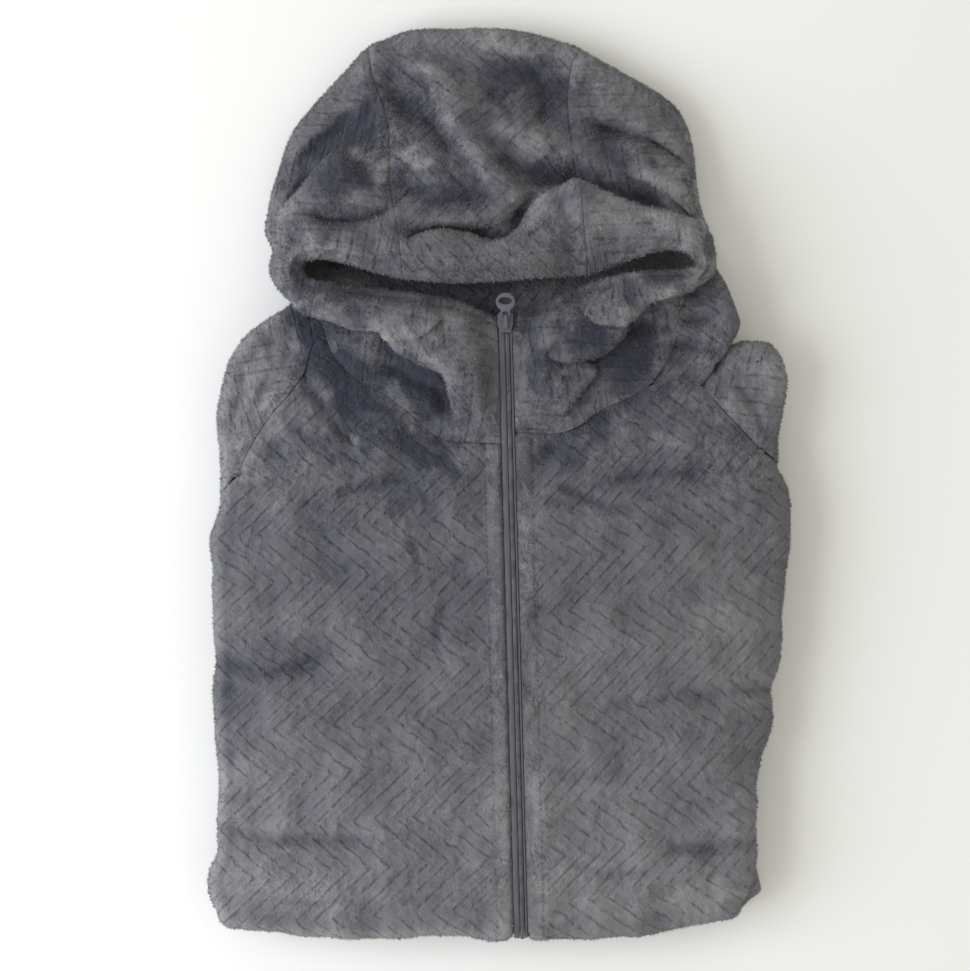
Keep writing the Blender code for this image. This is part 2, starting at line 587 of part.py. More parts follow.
def folded_layers(material, collection):
    """Back, skirt and sleeve layers as one rounded solid with layered edges."""
    outline = resampled(OUTLINE, LAYER_POINTS, closed=True)
    tangent = np.roll(outline, -1, axis=0) - np.roll(outline, 1, axis=0)
    inward = np.stack([-tangent[:, 1], tangent[:, 0]], axis=1)
    inward /= np.linalg.norm(inward, axis=1)[:, None]
    shelf = outline + inward * ROLL
    top = layers_height(shelf[:, 0], shelf[:, 1])
    rings = [np.column_stack([outline + inward * ring.inset, np.full(len(outline), ring.z)])
             for ring in LAYER_SIDE]
    groove = LAYER_SIDE[-1]
    share = (top - groove.z) / (LAYER_TOP - groove.z)
    for inset, z in [(groove.inset, EDGE_TOP - ROLL - LAYER_ROLL)] + [
            (ROLL - LAYER_ROLL * math.sin(a), EDGE_TOP - ROLL - LAYER_ROLL * math.cos(a))
            for a in np.radians((35, 65, 95, 125, 155))]:
        rings.append(np.column_stack([outline + inward * inset, groove.z + (z - groove.z) * share]))
    rings.append(np.column_stack([shelf, top]))
    spine = np.column_stack([np.full(len(shelf), SPINE_X), np.clip(shelf[:, 1], SPINE_LOW, SPINE_HIGH)])
    for share in LAYER_RINGS:
        plan = spine + (shelf - spine) * share
        rings.append(np.column_stack([plan, layers_height(plan[:, 0], plan[:, 1])]))
    bm = bmesh.new()
    verts = [[bm.verts.new(p * MM) for p in ring] for ring in rings]
    for lower, upper in zip(verts, verts[1:]):
        for k in range(len(lower)):
            n = (k + 1) % len(lower)
            bm.faces.new((lower[k], lower[n], upper[n], upper[k]))
    bm.faces.new(verts[0][::-1])
    bmesh.ops.triangulate(bm, faces=[bm.faces.new(verts[-1])])
    bmesh.ops.recalc_face_normals(bm, faces=bm.faces)
    mesh = bpy.data.meshes.new("folded_layers")
    bm.to_mesh(mesh)
    bm.free()
    mesh.shade_smooth()
    return new_object("folded_layers", mesh, material, collection)


def zip_height(y):
    """Cloth height along the zip: over the body, then up the collar."""
    y = np.asarray(y, float)
    on_body = body_height(zip_x(y), y)
    first, last = HOOD_RIGHT[0].edge_y, HOOD_RIGHT[0].rim_y - LIP_ROLL
    t = np.clip((last - y) / (last - first), 0, 1)
    seam_z = body_height(zip_x(first), first)
    row = HOOD_RIGHT[0]
    collar = row.rim_z * (1 - t) * (1 - 2 * t) + 4 * row.mid_z * t * (1 - t) + seam_z * t * (2 * t - 1)
    return np.where(y > first, collar, on_body)


def zip_strip(name, low_x, high_x, low_z, high_z, material, collection, stations=24):
    """A strip along the zip line with a flat section, turning round the bottom fold."""
    stops = [(y, 0.0) for y in np.linspace(ZIP_TOP, float(bottom_line(ZIP_X)), stations)]
    stops += [(stops[-1][0], turn) for turn in np.linspace(0, TURN, ROLL_STEPS + 1)[1:]]
    bm = bmesh.new()
    sections = []
    for y, turn in stops:
        middle = float(zip_x(y))
        surface = float(zip_height(y))
        section = []
        for x, depth in ((low_x, low_z), (high_x, low_z), (high_x, high_z), (low_x, high_z)):
            radius = ROLL + depth
            point = (middle + x, y - radius * math.sin(turn), surface - ROLL + radius * math.cos(turn))
            section.append(bm.verts.new([c * MM for c in point]))
        sections.append(section)
    for a, b in zip(sections, sections[1:]):
        for k in range(4):
            n = (k + 1) % 4
            bm.faces.new((a[k], a[n], b[n], b[k]))
    bm.faces.new(sections[0][::-1])
    bm.faces.new(sections[-1])
    bmesh.ops.recalc_face_normals(bm, faces=bm.faces)
    mesh = bpy.data.meshes.new(name)
    bm.to_mesh(mesh)
    bm.free()
    return new_object(name, mesh, material, collection)


def extruded(name, outline, holes, thick, material, collection):
    """Flat plate from a 2D curve with holes, centred on its own plane."""
    curve = bpy.data.curves.new(name, "CURVE")
    curve.dimensions = "2D"
    curve.fill_mode = "BOTH"
    curve.extrude = thick / 2 * MM
    for loop in [outline] + holes:
        spline = curve.splines.new("POLY")
        spline.points.add(len(loop) - 1)
        for point, (x, y) in zip(spline.points, loop):
            point.co = (x * MM, y * MM, 0, 1)
        spline.use_cyclic_u = True
    obj = bpy.data.objects.new(name, curve)
    obj.data.materials.append(material)
    collection.objects.link(obj)
    return obj


def slider_base():
    """Centre of the slider's lower face, on the cloth beside the zip."""
    ys = SLIDER_Y + SLIDER_LENGTH * np.array([-0.5, 0, SLIDER_REACH])
    return float(zip_x(SLIDER_Y)), SLIDER_Y, float(zip_height(ys).max()) + SLIDER_SEAT


def pull_axis():
    """Where the pull's crossbar lies in the slider's bridge."""
    x, y, z = slider_base()
    ahead = BRIDGE_LENGTH / 2 - BRIDGE_WALL - PULL_THICK / 2 - BAR_CLEAR
    return x, y + ahead, z + SLIDER_THICK + BRIDGE_HOLE / 2


def zip_slider(material, collection):
    """Slider body, wider at its nose, with an arched bridge over it."""
    x, y, z = slider_base()
    half, nose, length = SLIDER_WIDTH / 2, SLIDER_NOSE / 2, SLIDER_LENGTH / 2
    waist, shoulder_y, top = length * SLIDER_WAIST, length * SLIDER_SHOULDER, half - SLIDER_CHAMFER
    plate = [(-nose, -length), (nose, -length), (half, waist), (half, shoulder_y),
             (top, length), (-top, length), (-half, shoulder_y), (-half, waist)]
    bm = bmesh.new()
    lower = [bm.verts.new((px * MM, py * MM, 0)) for px, py in plate]
    base = bm.faces.new(lower)
    up = bmesh.ops.extrude_face_region(bm, geom=[base])
    raised = [v for v in up["geom"] if isinstance(v, bmesh.types.BMVert)]
    bmesh.ops.translate(bm, verts=raised, vec=(0, 0, SLIDER_THICK * MM))
    bmesh.ops.recalc_face_normals(bm, faces=bm.faces)
    mesh = bpy.data.meshes.new("zip_slider")
    bm.to_mesh(mesh)
    bm.free()
    slider = new_object("zip_slider", mesh, material, collection)
    slider.location = (x * MM, y * MM, z * MM)
    arch = box("bridge_block", BRIDGE_WIDTH, BRIDGE_LENGTH, BRIDGE_HOLE + BRIDGE_WALL + BRIDGE_ROOT, CUTTERS)
    arch_z = z + SLIDER_THICK + (BRIDGE_HOLE + BRIDGE_WALL - BRIDGE_ROOT) / 2
    arch.location = (x * MM, y * MM, arch_z * MM)
    hole = box("bridge_hole", BRIDGE_WIDTH * 2, BRIDGE_LENGTH - 2 * BRIDGE_WALL, BRIDGE_HOLE, CUTTERS)
    hole.location = (x * MM, y * MM, (z + SLIDER_THICK + BRIDGE_HOLE / 2) * MM)
    for guide, operation in ((arch, "UNION"), (hole, "DIFFERENCE")):
        step = slider.modifiers.new(guide.name, "BOOLEAN")
        step.operation = operation
        step.object = guide
        step.solver = "EXACT"
    return slider


def box(name, width, length, height, collection):
    bm = bmesh.new()
    bmesh.ops.create_cube(bm, size=1)
    bmesh.ops.scale(bm, vec=(width * MM, length * MM, height * MM), verts=bm.verts)
    mesh = bpy.data.meshes.new(name)
    bm.to_mesh(mesh)
    bm.free()
    obj = bpy.data.objects.new(name, mesh)
    collection.objects.link(obj)
    obj.hide_render = True
    obj.display_type = "WIRE"
    return obj


def zip_pull(material, collection):
    """Flat pull with a ring end; its crossbar runs through the bridge and is its hinge axis."""
    ring_y = PULL_LENGTH - PULL_RING
    neck, bar = PULL_NECK, PULL_THICK / 2
    arc = [(PULL_RING * math.sin(a), ring_y + PULL_RING * math.cos(a) * PULL_RING_FLAT)
           for a in np.radians(np.linspace(-PULL_ARC, PULL_ARC, 17))]
    outline = [(-neck, -bar), (-neck, PULL_SHOULDER)] + arc + [(neck, PULL_SHOULDER), (neck, -bar)]
    window = [(-PULL_WINDOW, bar), (PULL_WINDOW, bar), (PULL_WINDOW, bar + PULL_WINDOW_LENGTH),
              (-PULL_WINDOW, bar + PULL_WINDOW_LENGTH)]
    hole = [(PULL_HOLE_LONG * math.cos(a), ring_y + PULL_HOLE_AHEAD + PULL_HOLE_WIDE * math.sin(a))
            for a in np.linspace(0, 2 * math.pi, 16, endpoint=False)]
    pull = extruded("zip_pull", outline, [window, hole], PULL_THICK, material, collection)
    pull.location = [c * MM for c in pull_axis()]
    return pull


def principled(name, color, roughness, metallic):
    material = bpy.data.materials.new(name)
    material.use_nodes = True
    shader = material.node_tree.nodes["Principled BSDF"]
    shader.inputs["Base Color"].default_value = (*color, 1)
    shader.inputs["Roughness"].default_value = roughness
    shader.inputs["Metallic"].default_value = metallic
    return material


def new_collection(name):
    collection = bpy.data.collections.new(name)
    bpy.context.scene.collection.children.link(collection)
    return collection


for old in list(bpy.data.objects):
    bpy.data.objects.remove(old)
ROBE = new_collection("hooded_robe")
CUTTERS = new_collection("cutters")
FINISH = {name: principled(name, *values) for name, values in MATERIALS.items()}
PLUSH = FINISH["plush"]

folded_layers(PLUSH, ROBE)
cloth("front_right", front_grid(-1, RIGHT_NECK, RIGHT_ARMHOLE, RIGHT_SIDE), PLUSH, ROBE)
cloth("front_left", front_grid(1, LEFT_NECK, LEFT_ARMHOLE, LEFT_SIDE), PLUSH, ROBE)
cloth("sleeve_right", sleeve_grid(-1, RIGHT_SLEEVE, RIGHT_SIDE), PLUSH, ROBE)
cloth("sleeve_left", sleeve_grid(1, LEFT_SLEEVE, LEFT_SIDE), PLUSH, ROBE)
cloth("hood_right", hood_grid(HOOD_RIGHT, False, True), PLUSH, ROBE)
cloth("hood_centre", hood_grid(HOOD_CENTRE, True, True), PLUSH, ROBE)
cloth("hood_left", hood_grid(HOOD_LEFT, True, False), PLUSH, ROBE)
cloth("hood_back", back_grid(), PLUSH, ROBE)
zip_strip("zip_tape_right", -ZIP_HALF + ZIP_CLEAR, COIL_LEFT - COIL_WIDTH - ZIP_CLEAR,
          -TAPE_SUNK - TAPE_THICK, -TAPE_SUNK, FINISH["zip_tape"], ROBE)
zip_strip("zip_tape_left", COIL_LEFT + ZIP_CLEAR, ZIP_HALF - ZIP_CLEAR,
          -TAPE_SUNK - TAPE_THICK, -TAPE_SUNK, FINISH["zip_tape"], ROBE)
zip_strip("zip_chain", COIL_LEFT - COIL_WIDTH, COIL_LEFT,
          -COIL_SUNK - COIL_THICK, -COIL_SUNK, FINISH["zip_coil"], ROBE)
zip_slider(FINISH["zip_metal"], ROBE)
zip_pull(FINISH["zip_metal"], ROBE)
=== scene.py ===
import math
from collections import namedtuple

import bpy
import numpy as np
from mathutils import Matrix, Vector


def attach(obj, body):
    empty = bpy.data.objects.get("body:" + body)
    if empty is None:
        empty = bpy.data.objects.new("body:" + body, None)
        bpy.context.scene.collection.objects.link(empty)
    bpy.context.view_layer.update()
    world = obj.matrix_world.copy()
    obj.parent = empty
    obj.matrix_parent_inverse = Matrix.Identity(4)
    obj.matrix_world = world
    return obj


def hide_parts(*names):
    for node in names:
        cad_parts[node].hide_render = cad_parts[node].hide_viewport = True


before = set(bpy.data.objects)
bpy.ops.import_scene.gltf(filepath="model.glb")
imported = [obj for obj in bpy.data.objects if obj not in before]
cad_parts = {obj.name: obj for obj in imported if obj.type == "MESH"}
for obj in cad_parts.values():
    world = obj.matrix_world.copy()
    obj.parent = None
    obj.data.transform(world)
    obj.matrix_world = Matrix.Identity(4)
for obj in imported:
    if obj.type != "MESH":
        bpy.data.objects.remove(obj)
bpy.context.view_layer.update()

MM = 0.001

# ---------------------------------------------------------------- sizes, most of them the solids' own
WALL = 3.0
SEAM_GAP = 0.4
LAYER_GAP = 1.1
EDGE_TOP = 41.0             # height of the cloth where it starts to turn down
CROWN = 5.0
CROWN_REACH = 30.0
ROLL = 11.0                 # radius of the turned edges
TURN = math.radians(160)
CORNER_BLEND = 0.9
CORNER_STRAIGHT = 12.0
NECK_DROP = 12.0
NECK_START = 48.0
NECK_END = 112.0
NECK_HALF_WIDTH = 46.0
NECK_SIDE_FADE = 64.0
HOOD_SEAT = WALL + 5.0
SEAT_START = 40.0
SEAT_END = 68.0
SEAT_HALF_WIDTH = 130.0
SEAT_SIDE_FADE = 26.0
ZIP_X = 6.8
ZIP_LEAN = -0.0262
ZIP_HALF = 4.5
COIL_WIDTH = 2.7
COIL_LEFT = COIL_WIDTH - 0.2
ZIP_CLEAR = 0.3
ZIP_TOP = 98.0
CALM_NEAR = 5.0
CALM_FAR = 20.0
LIP_ROLL = 6.0
LIP_TURN = math.radians(150)
NECK_CALM_NEAR = 2.0
NECK_CALM_FAR = 16.0
EDGE_CALM = 0.86
BACK_TABLE_Y = 158.0
BACK_BUNDLE_Y = 116.0
BACK_EDGE_DROP = 14.0
BACK_EDGE_REACH = 9.0
BACK_RISE = 6.0
BACK_SHOWS = (90, 106)
BACK_RISES = (46, 60)
BACK_FALLS = (82, 96)
BACK_LIFT = 3.4
BACK_TABLE_LIFT = 0.05
LAYER_TOP = EDGE_TOP - WALL - LAYER_GAP
LAYER_ROLL = 5.8
NEAR_BY = 10.0
NEAR_WAYS = 8
SHOULDER_INSET = 5.0
SHOULDER_ROWS = 4
SPINE_X = 2.0
SPINE_LOW = -190.0
SPINE_HIGH = 20.0
SIDE_SEAM_DROP = 1.8
SIDE_SHEAR = {-1: 0.9, 1: 0.65}

Point = namedtuple("Point", "x y")
Side = namedtuple("Side", "y x")
Fold = namedtuple("Fold", "x0 y0 x1 y1 x2 y2 rise width")
SleeveRow = namedtuple("SleeveRow", "seam_x seam_y edge_x edge_y")
HoodRow = namedtuple("HoodRow", "rim_x rim_y edge_x edge_y rim_z mid_z edge_z roll")
Ring = namedtuple("Ring", "inset z")
Curl = namedtuple("Curl", "y rise")


def table(kind, *rows):
    return [kind(*row) for row in rows]


# Silhouette of the folded body, from the armhole down
RIGHT_SIDE = table(Side,
    (4, -177.5), (-14, -178), (-36, -183), (-62, -183), (-87, -181), (-113, -182),
    (-139, -182), (-164, -181), (-190, -179), (-215, -179), (-237, -180.5), (-250, -185.5),
    (-261, -185), (-273, -179.5))
LEFT_SIDE = table(Side,
    (20, 178.5), (8, 179), (-7, 185), (-23, 187), (-49, 185), (-75, 181.5), (-100, 181),
    (-113, 180), (-127, 175), (-144, 175), (-159, 173), (-176, 168), (-192, 164.5),
    (-209, 164.5), (-231, 165.5), (-248, 163), (-260, 159), (-268, 156))
BOTTOM = table(Point,
    (-168.5, -284), (-132, -288), (-96, -291), (-60, -290.5), (-36, -289), (0, -291.5),
    (21, -291.5), (77, -290.5), (107, -286.5), (128, -282), (145, -279))
BACK_EDGE = table(Point, (-124, 113), (-100, 114), (0, 114), (100, 112), (126, 102))

# Neck seam from the zip to the shoulder, then the armhole seam down to the folded side
RIGHT_NECK = table(Point,
    (1.6, 25.3), (-14, 26), (-29, 26.5), (-43, 32), (-56, 44), (-72, 56), (-90, 66), (-104, 80))
RIGHT_ARMHOLE = table(Point,
    (-112, 97), (-118, 86), (-123, 71), (-132, 57), (-143, 45), (-154, 29), (-163, 12.5),
    (-166.3, 4))
LEFT_NECK = table(Point,
    (10.5, 33), (24, 32), (38, 32), (50, 36), (64, 46), (78, 52.6), (94, 61), (112, 66))
LEFT_ARMHOLE = table(Point,
    (129, 61.6), (137.5, 52), (145, 43.7), (153, 35.5), (161, 27), (167.5, 20))

# Sleeve heads: a row from the armhole seam to the folded edge
RIGHT_SLEEVE = table(SleeveRow,
    (-112, 97, -135, 113), (-118, 86, -157, 98), (-123, 71, -171, 80), (-132, 57, -177, 60),
    (-143, 45, -180, 42), (-154, 29, -178.5, 26), (-163, 12.5, -177, 12), (-166.3, 4, -177.5, 4))
LEFT_SLEEVE = table(SleeveRow,
    (139, 73, 147, 87), (133, 66.5, 160, 91), (129, 61.6, 176, 87), (137.5, 52, 184, 68),
    (145, 43.7, 182.5, 51), (153, 35.5, 180, 37), (161, 27, 178, 28), (167.5, 20, 178.5, 20))

# Sleeve heads' first rows, tucked in under the hood and its back
TUCK_LINE = table(Point, (126, 56), (131, 63.5), (138, 71), (149, 85))
TUCK_DROP = 5.0
RIGHT_TUCK = [SleeveRow(-106, 104, -129, 120)]
LEFT_TUCK = table(SleeveRow, (124, 76, 137, 88), (127.5, 70.5, 147, 88.5), (129.5, 66, 160, 91))

# Hood and collar: a row for each section, from the turned front edge (rim) outward.
# edge_z of None ends on the neck seam, at the front's own height.
HOOD_RIGHT = table(HoodRow,
    (-0.6, 104.5, 1.6, 25.3, 50, 49, None, 0), (-12, 110, -14, 26, 51, 49, None, 0),
    (-24, 115, -29, 26.5, 52, 50, None, 0), (-39, 118, -43, 32, 52, 51, None, 0),
    (-54, 120, -56, 44, 52, 51, None, 0), (-72, 122.5, -72, 56, 52, 52, None, 0),
    (-90, 124, -90, 66, 52, 52, None, 0), (-105, 126, -104, 80, 52, 53, None, 0),
    (-115, 127.5, -112, 98.5, 52, 54, 47, 0), (-121, 130, -127, 111.5, 52, 54, 46.5, 0),
    (-123, 133.5, -138, 121, 52, 52, 44, 7), (-123.5, 137, -146, 135, 52, 50, 39, 9),
    (-121.5, 140.5, -145, 150, 53, 48, 34, 10), (-118, 141, -149.5, 162, 54, 46, 31, 10),
    (-113, 141.5, -148, 175, 55, 45, 29, 10),
    (-106, 141, -143, 197, 56, 44, 25, 10), (-94, 138, -132, 227, 56, 43, 23.4, 10),
    (-78, 133.5, -110, 254, 56, 43, 23.4, 10), (-60, 129, -84, 281.5, 56, 42, 23.4, 10))
HOOD_CENTRE = table(HoodRow,
    (-60, 129, -84, 281.5, 56, 42, 23.4, 10), (-36, 127, -57, 292, 56, 41, 23.4, 10),
    (-12, 127, -28, 293, 56, 40, 23.4, 10), (12, 128.5, 0, 293, 56, 40, 23.4, 10),
    (36, 130.5, 27, 288.8, 56, 41, 23.4, 10), (57, 132, 51, 281, 56, 42, 23.4, 10))
HOOD_LEFT = table(HoodRow,
    (57, 132, 51, 281, 56, 42, 23.4, 10), (72, 137, 83, 263, 56, 42, 23.4, 10),
    (86, 142, 113, 244, 56, 43, 23.4, 10), (99, 146, 124, 222, 56, 44, 24, 10),
    (110, 147, 127, 196, 55, 45, 27, 10), (118, 145.5, 130, 174, 54, 47, 32, 9),
    (123, 142, 137, 156, 53, 48, 37, 8), (125, 138.5, 138.5, 142, 53, 49, 42, 7),
    (123, 136, 135, 131, 53, 52, 46, 6), (115, 134.5, 121, 121, 53, 54, 46, 0),
    (102, 134, 114, 108, 53, 53, 41, 0), (88, 133, 113, 94, 53, 50, 40, 0),
    (74, 131, 107, 79, 52, 50, 41, 0), (60, 128, 94, 61, 52, 52, None, 0),
    (47, 122.5, 78, 52.6, 52, 52, None, 0), (37, 118, 64, 46, 52, 51, None, 0),
    (28, 114.5, 50, 36, 52, 51, None, 0), (20, 113, 38, 32, 51, 50, None, 0),
    (14, 110.5, 24, 32, 51, 49, None, 0), (8.5, 105.5, 10.5, 33, 50, 49, None, 0))

# Back of the hood: its own edges, under the hood and out past the collar on the left shoulder
BACK_RIGHT_EDGE = table(Side,
    (96, -98), (112, -118), (130, -131), (140, -136), (150, -139), (173, -142), (197, -138.5),
    (227, -125.5), (251, -105), (268, -87), (279, -66), (285, -42), (287.5, -14))
BACK_LEFT_EDGE = table(Side,
    (74, 136.5), (87, 146.5), (101, 154), (117, 149), (130, 145), (143, 139), (160, 127), (194, 119),
    (213, 114), (233, 104), (247, 92), (262, 71), (274, 50), (282, 28), (287.5, 4))
# How far the back's edge turns up to meet the hood's rolled edge
RIGHT_CURL = table(Curl,
    (120, 0), (130, 5), (140, 9), (150, 14), (159, 16), (168, 14), (180, 9), (197, 4), (215, 3))
LEFT_CURL = table(Curl, (138, 0), (146, 7), (156, 14), (174, 9.5), (196, 4), (215, 3))
BACK_LOWER = table(Point,
    (-98, 96), (-76, 84), (-40, 76), (20, 72), (70, 65), (98, 61.5), (112, 65.2), (124, 62.6),
    (130.5, 63.4), (137.5, 72))

# Largest folds: ridges rise above zero, troughs below
BODY_FOLDS = table(Fold,
    (-122, 70, -113, 52, -97, 32, -2.6, 7), (-136, 84, -128, 74, -123, 66, -2.0, 8),
    (-108, 62, -92, 44, -78, 24, 2.2, 13), (-98, -6, -82, -2, -60, 4, -1.8, 7),
    (-182, -113, -150, -120, -120, -116, -2.6, 10), (-160, -96, -110, -94, -60, -104, 1.6, 20),
    (-175, -220, -142, -226, -82, -228, -2.4, 8), (-150, -252, -90, -254, -30, -246, 1.8, 16),
    (82, 52, 60, 41, 28, 14, -2.6, 10), (42, -2, 63, -13, 82, -17, -1.8, 7),
    (72, 2, 97, 6, 122, 6, -2.0, 8), (60, 30, 96, 38, 124, 44, 1.8, 14),
    (77, -140, 100, -138, 123, -131, -1.8, 8), (126, -137, 150, -133, 175, -129, -2.6, 8),
    (114, -232, 140, -232, 166, -229, -2.4, 8), (60, -90, 110, -92, 160, -84, 1.6, 20),
    (40, -200, 90, -196, 140, -202, 1.5, 18))
HOOD_FOLDS = table(Fold,
    (-22, 157, 0, 152, 20, 158, -6, 7), (12, 166, 22, 186, 52, 197, -5, 6),
    (60, 192, 86, 183, 120, 172, -4.5, 7), (-66, 170, -24, 167, 10, 178, 4.5, 5),
    (-112, 165, -92, 163.5, -70, 171, -5, 5), (-140, 168, -104, 179, -68, 174, 4, 6),
    (-113, 204, -138, 180, -147, 153, 4, 6), (-125, 212, -106, 218, -100, 232, -5, 12),
    (-75, 278, -38, 262, -26, 240, 5, 8), (-26, 240, -16, 216, 1, 194, 5, 8),
    (24, 262, 32, 250, 30, 236, -5, 16), (6, 226, 24, 220, 44, 208, 4, 8),
    (4, 204, 20, 198, 44, 196, -5, 7), (-72, 264, -62, 244, -34, 218, -6, 9),
    (66, 228, 92, 220, 116, 207, -4, 7), (80, 214, 104, 208, 124, 196, 3, 7),
    (62, 172, 84, 160, 118, 156, 3, 9), (-60, 192, -34, 182, -8, 182, -5, 9),
    (-96, 250, -104, 236, -118, 226, 3, 10))
COLLAR_FOLDS = table(Fold,
    (-98, 80, -58, 68, -30, 48, -3.4, 8), (-118, 116, -76, 102, -38, 74, 6, 10),
    (60, 92, 72, 84, 92, 76, -4.5, 11), (34, 96, 50, 92, 62, 100, 5, 12),
    (30, 62, 42, 64, 50, 60, 3.5, 11), (70, 118, 96, 122, 120, 128, 2.5, 8))
BACK_FOLDS = table(Fold,
    (112, 80, 124, 90, 128, 104, -2.5, 6), (132, 94, 140, 106, 138, 122, 2.5, 8))

# Side of the hidden layers, from the table up: two folded layers, then a groove that takes
# the front's turned edge, then the rounded edge that the front turns over
LAYER_SIDE = table(Ring,
    (10, 0), (5.5, 1.0), (3.4, 5.0), (5.0, 9.0), (8.5, 10.2), (5.0, 11.4), (3.8, 14.5),
    (5.6, 17.2), (16, 18.2))

# ---------------------------------------------------------------- creases, steps, and patches of brushed pile and of painted light and shade
# A crease is a narrow valley with soft shoulders. A step is a layer's edge: the cloth on the left
# of its line stands proud and drops to the right. A patch is pile brushed lighter or darker; many
# patches are painted shade in hollows and painted light on ridges.
Crease = namedtuple("Crease", "depth width points")
Step = namedtuple("Step", "rise fall points")
Patch = namedtuple("Patch", "x y along across angle tone")

BODY_CREASES = table(Crease,
    (1.8, 3.6, ((-124, 84), (-123, 68), (-113, 52), (-98, 32), (-90, 18))),
    (1.3, 3.2, ((-104, -7), (-98, -6), (-83, -2), (-64, 3), (-54, 4))),
    (1.7, 4.2, ((-186, -112), (-170, -114), (-147, -120), (-124, -116), (-108, -112))),
    (1.4, 3.4, ((-180, -219), (-160, -223), (-142, -226), (-103, -227), (-74, -229))),
    (1.0, 3.0, ((-60, -30), (-52, -44), (-50, -62), (-54, -76))),
    (1.0, 3.2, ((-30, -70), (-38, -90), (-36, -112), (-28, -128))),
    (0.9, 3.0, ((-110, -160), (-88, -166), (-66, -162), (-48, -168))),
    (0.9, 2.8, ((-150, -262), (-120, -266), (-92, -262))),
    (1.9, 3.8, ((96, 60), (82, 52), (65, 43), (39, 30), (26, 12))),
    (1.3, 3.0, ((34, 2), (42, -2), (63, -13), (81, -17), (92, -17))),
    (1.3, 3.0, ((66, -1), (75, 2), (97, 6), (120, 6), (134, 3))),
    (1.1, 3.2, ((66, -143), (77, -140), (100, -138), (123, -131), (132, -131))),
    (1.7, 3.6, ((118, -138), (126, -137), (146, -133), (173, -130), (184, -130))),
    (1.5, 3.6, ((104, -232), (114, -232), (131, -232), (164, -229), (172, -229))),
    (1.0, 3.0, ((30, -176), (46, -184), (66, -186), (84, -180))),
    (0.9, 3.0, ((40, -236), (60, -246), (84, -248), (104, -242))),
    (0.9, 2.6, ((150, -44), (162, -52), (176, -50), (186, -54))),
    (0.9, 2.6, ((142, 20), (150, 6), (154, -10), (152, -24))))
SLEEVE_CREASES = table(Crease,
    (1.6, 3.0, ((126, 58), (129, 62), (137, 71), (145, 80), (152, 90))),
    (1.4, 3.0, ((168, 88), (176, 76), (179, 60), (176, 48))),
    (1.2, 2.6, ((150, 64), (160, 52), (166, 40), (170, 28))),
    (1.4, 3.2, ((-150, 100), (-144, 84), (-146, 66), (-156, 46))),
    (1.2, 3.0, ((-134, 108), (-132, 94), (-136, 78), (-142, 62))),
    (1.1, 2.6, ((-166, 84), (-162, 66), (-166, 48), (-172, 30))))
HOOD_CREASES = table(Crease,
    (2.0, 3.4, ((-50, 157), (-38, 161), (-20, 160), (-6, 157), (8, 157), (17, 166), (28, 184))),
    (1.3, 3.4, ((58, 190), (72, 185), (84, 181), (101, 175), (118, 169))),
    (1.8, 3.0, ((-120, 167), (-112, 165), (-92, 163), (-72, 171), (-62, 175))),
    (1.6, 3.0, ((-152, 148), (-148, 158), (-142, 172), (-128, 188), (-114, 198))),
    (1.5, 3.4, ((-130, 210), (-125, 212), (-104, 224), (-100, 231), (-98, 240))),
    (1.4, 3.0, ((92, 205), (97, 203), (110, 196), (122, 190), (128, 184))),
    (1.2, 3.0, ((-60, 254), (-52, 246), (-46, 232), (-36, 222))),
    (1.2, 3.2, ((-14, 270), (-8, 252), (6, 238), (10, 222))),
    (1.2, 3.0, ((24, 262), (30, 248), (28, 232), (34, 216))),
    (1.3, 3.0, ((-66, 190), (-50, 186), (-36, 190), (-20, 188))),
    (1.2, 3.0, ((-10, 206), (6, 204), (20, 200), (38, 204))),
    (1.0, 3.0, ((-110, 150), (-104, 156), (-90, 158), (-78, 154))),
    (1.2, 2.6, ((66, 168), (72, 160), (74, 150), (70, 142))),
    (1.2, 2.6, ((92, 168), (96, 158), (104, 150), (110, 148))),
    (1.0, 2.6, ((38, 176), (44, 164), (42, 152), (48, 140))),
    (1.0, 2.6, ((-40, 148), (-34, 142), (-36, 136), (-30, 130))),
    (1.0, 2.6, ((62, 250), (78, 244), (96, 234), (110, 224))),
    (0.9, 2.4, ((60, 262), (76, 258), (90, 250), (102, 240))),
    (1.0, 2.8, ((-124, 226), (-114, 236), (-104, 246), (-96, 256))),
    (1.0, 2.8, ((-92, 212), (-86, 222), (-84, 236), (-78, 248))))
HOOD_STEPS = table(Step,
    (7.5, 20, ((62, 191), (48, 188), (35, 184), (22, 175), (14, 161), (3, 152), (-9, 152), (-21, 157),
               (-38, 158), (-50, 155), (-64, 150))),
    (7.0, 22, ((138, 162), (129, 164), (118, 166.5), (93, 173), (73, 180.5), (54, 188), (38, 186))),
    (4.0, 14, ((78, 199), (92, 192), (104, 186.5), (114, 179), (130, 166))),
    (4.5, 12, ((60, 232), (76, 228), (88.5, 224), (103.4, 217.7), (116, 209), (128, 202))),
    (7.0, 14, ((-100, 215), (-107, 207), (-114, 200), (-128, 182), (-140, 170), (-146, 160), (-150, 144))),
    (3.5, 16, ((-58, 175), (-71, 171), (-91, 164), (-112, 165.5), (-126, 169))),
    (3.5, 12, ((-60, 158), (-38, 163.5), (-24, 162.5), (-11, 162.5), (3, 166), (12, 176), (26, 189))),
    (3.2, 12, ((-56, 272), (-46, 259.7), (-38, 235), (-21.5, 210.6), (-9, 190), (-5, 182))))
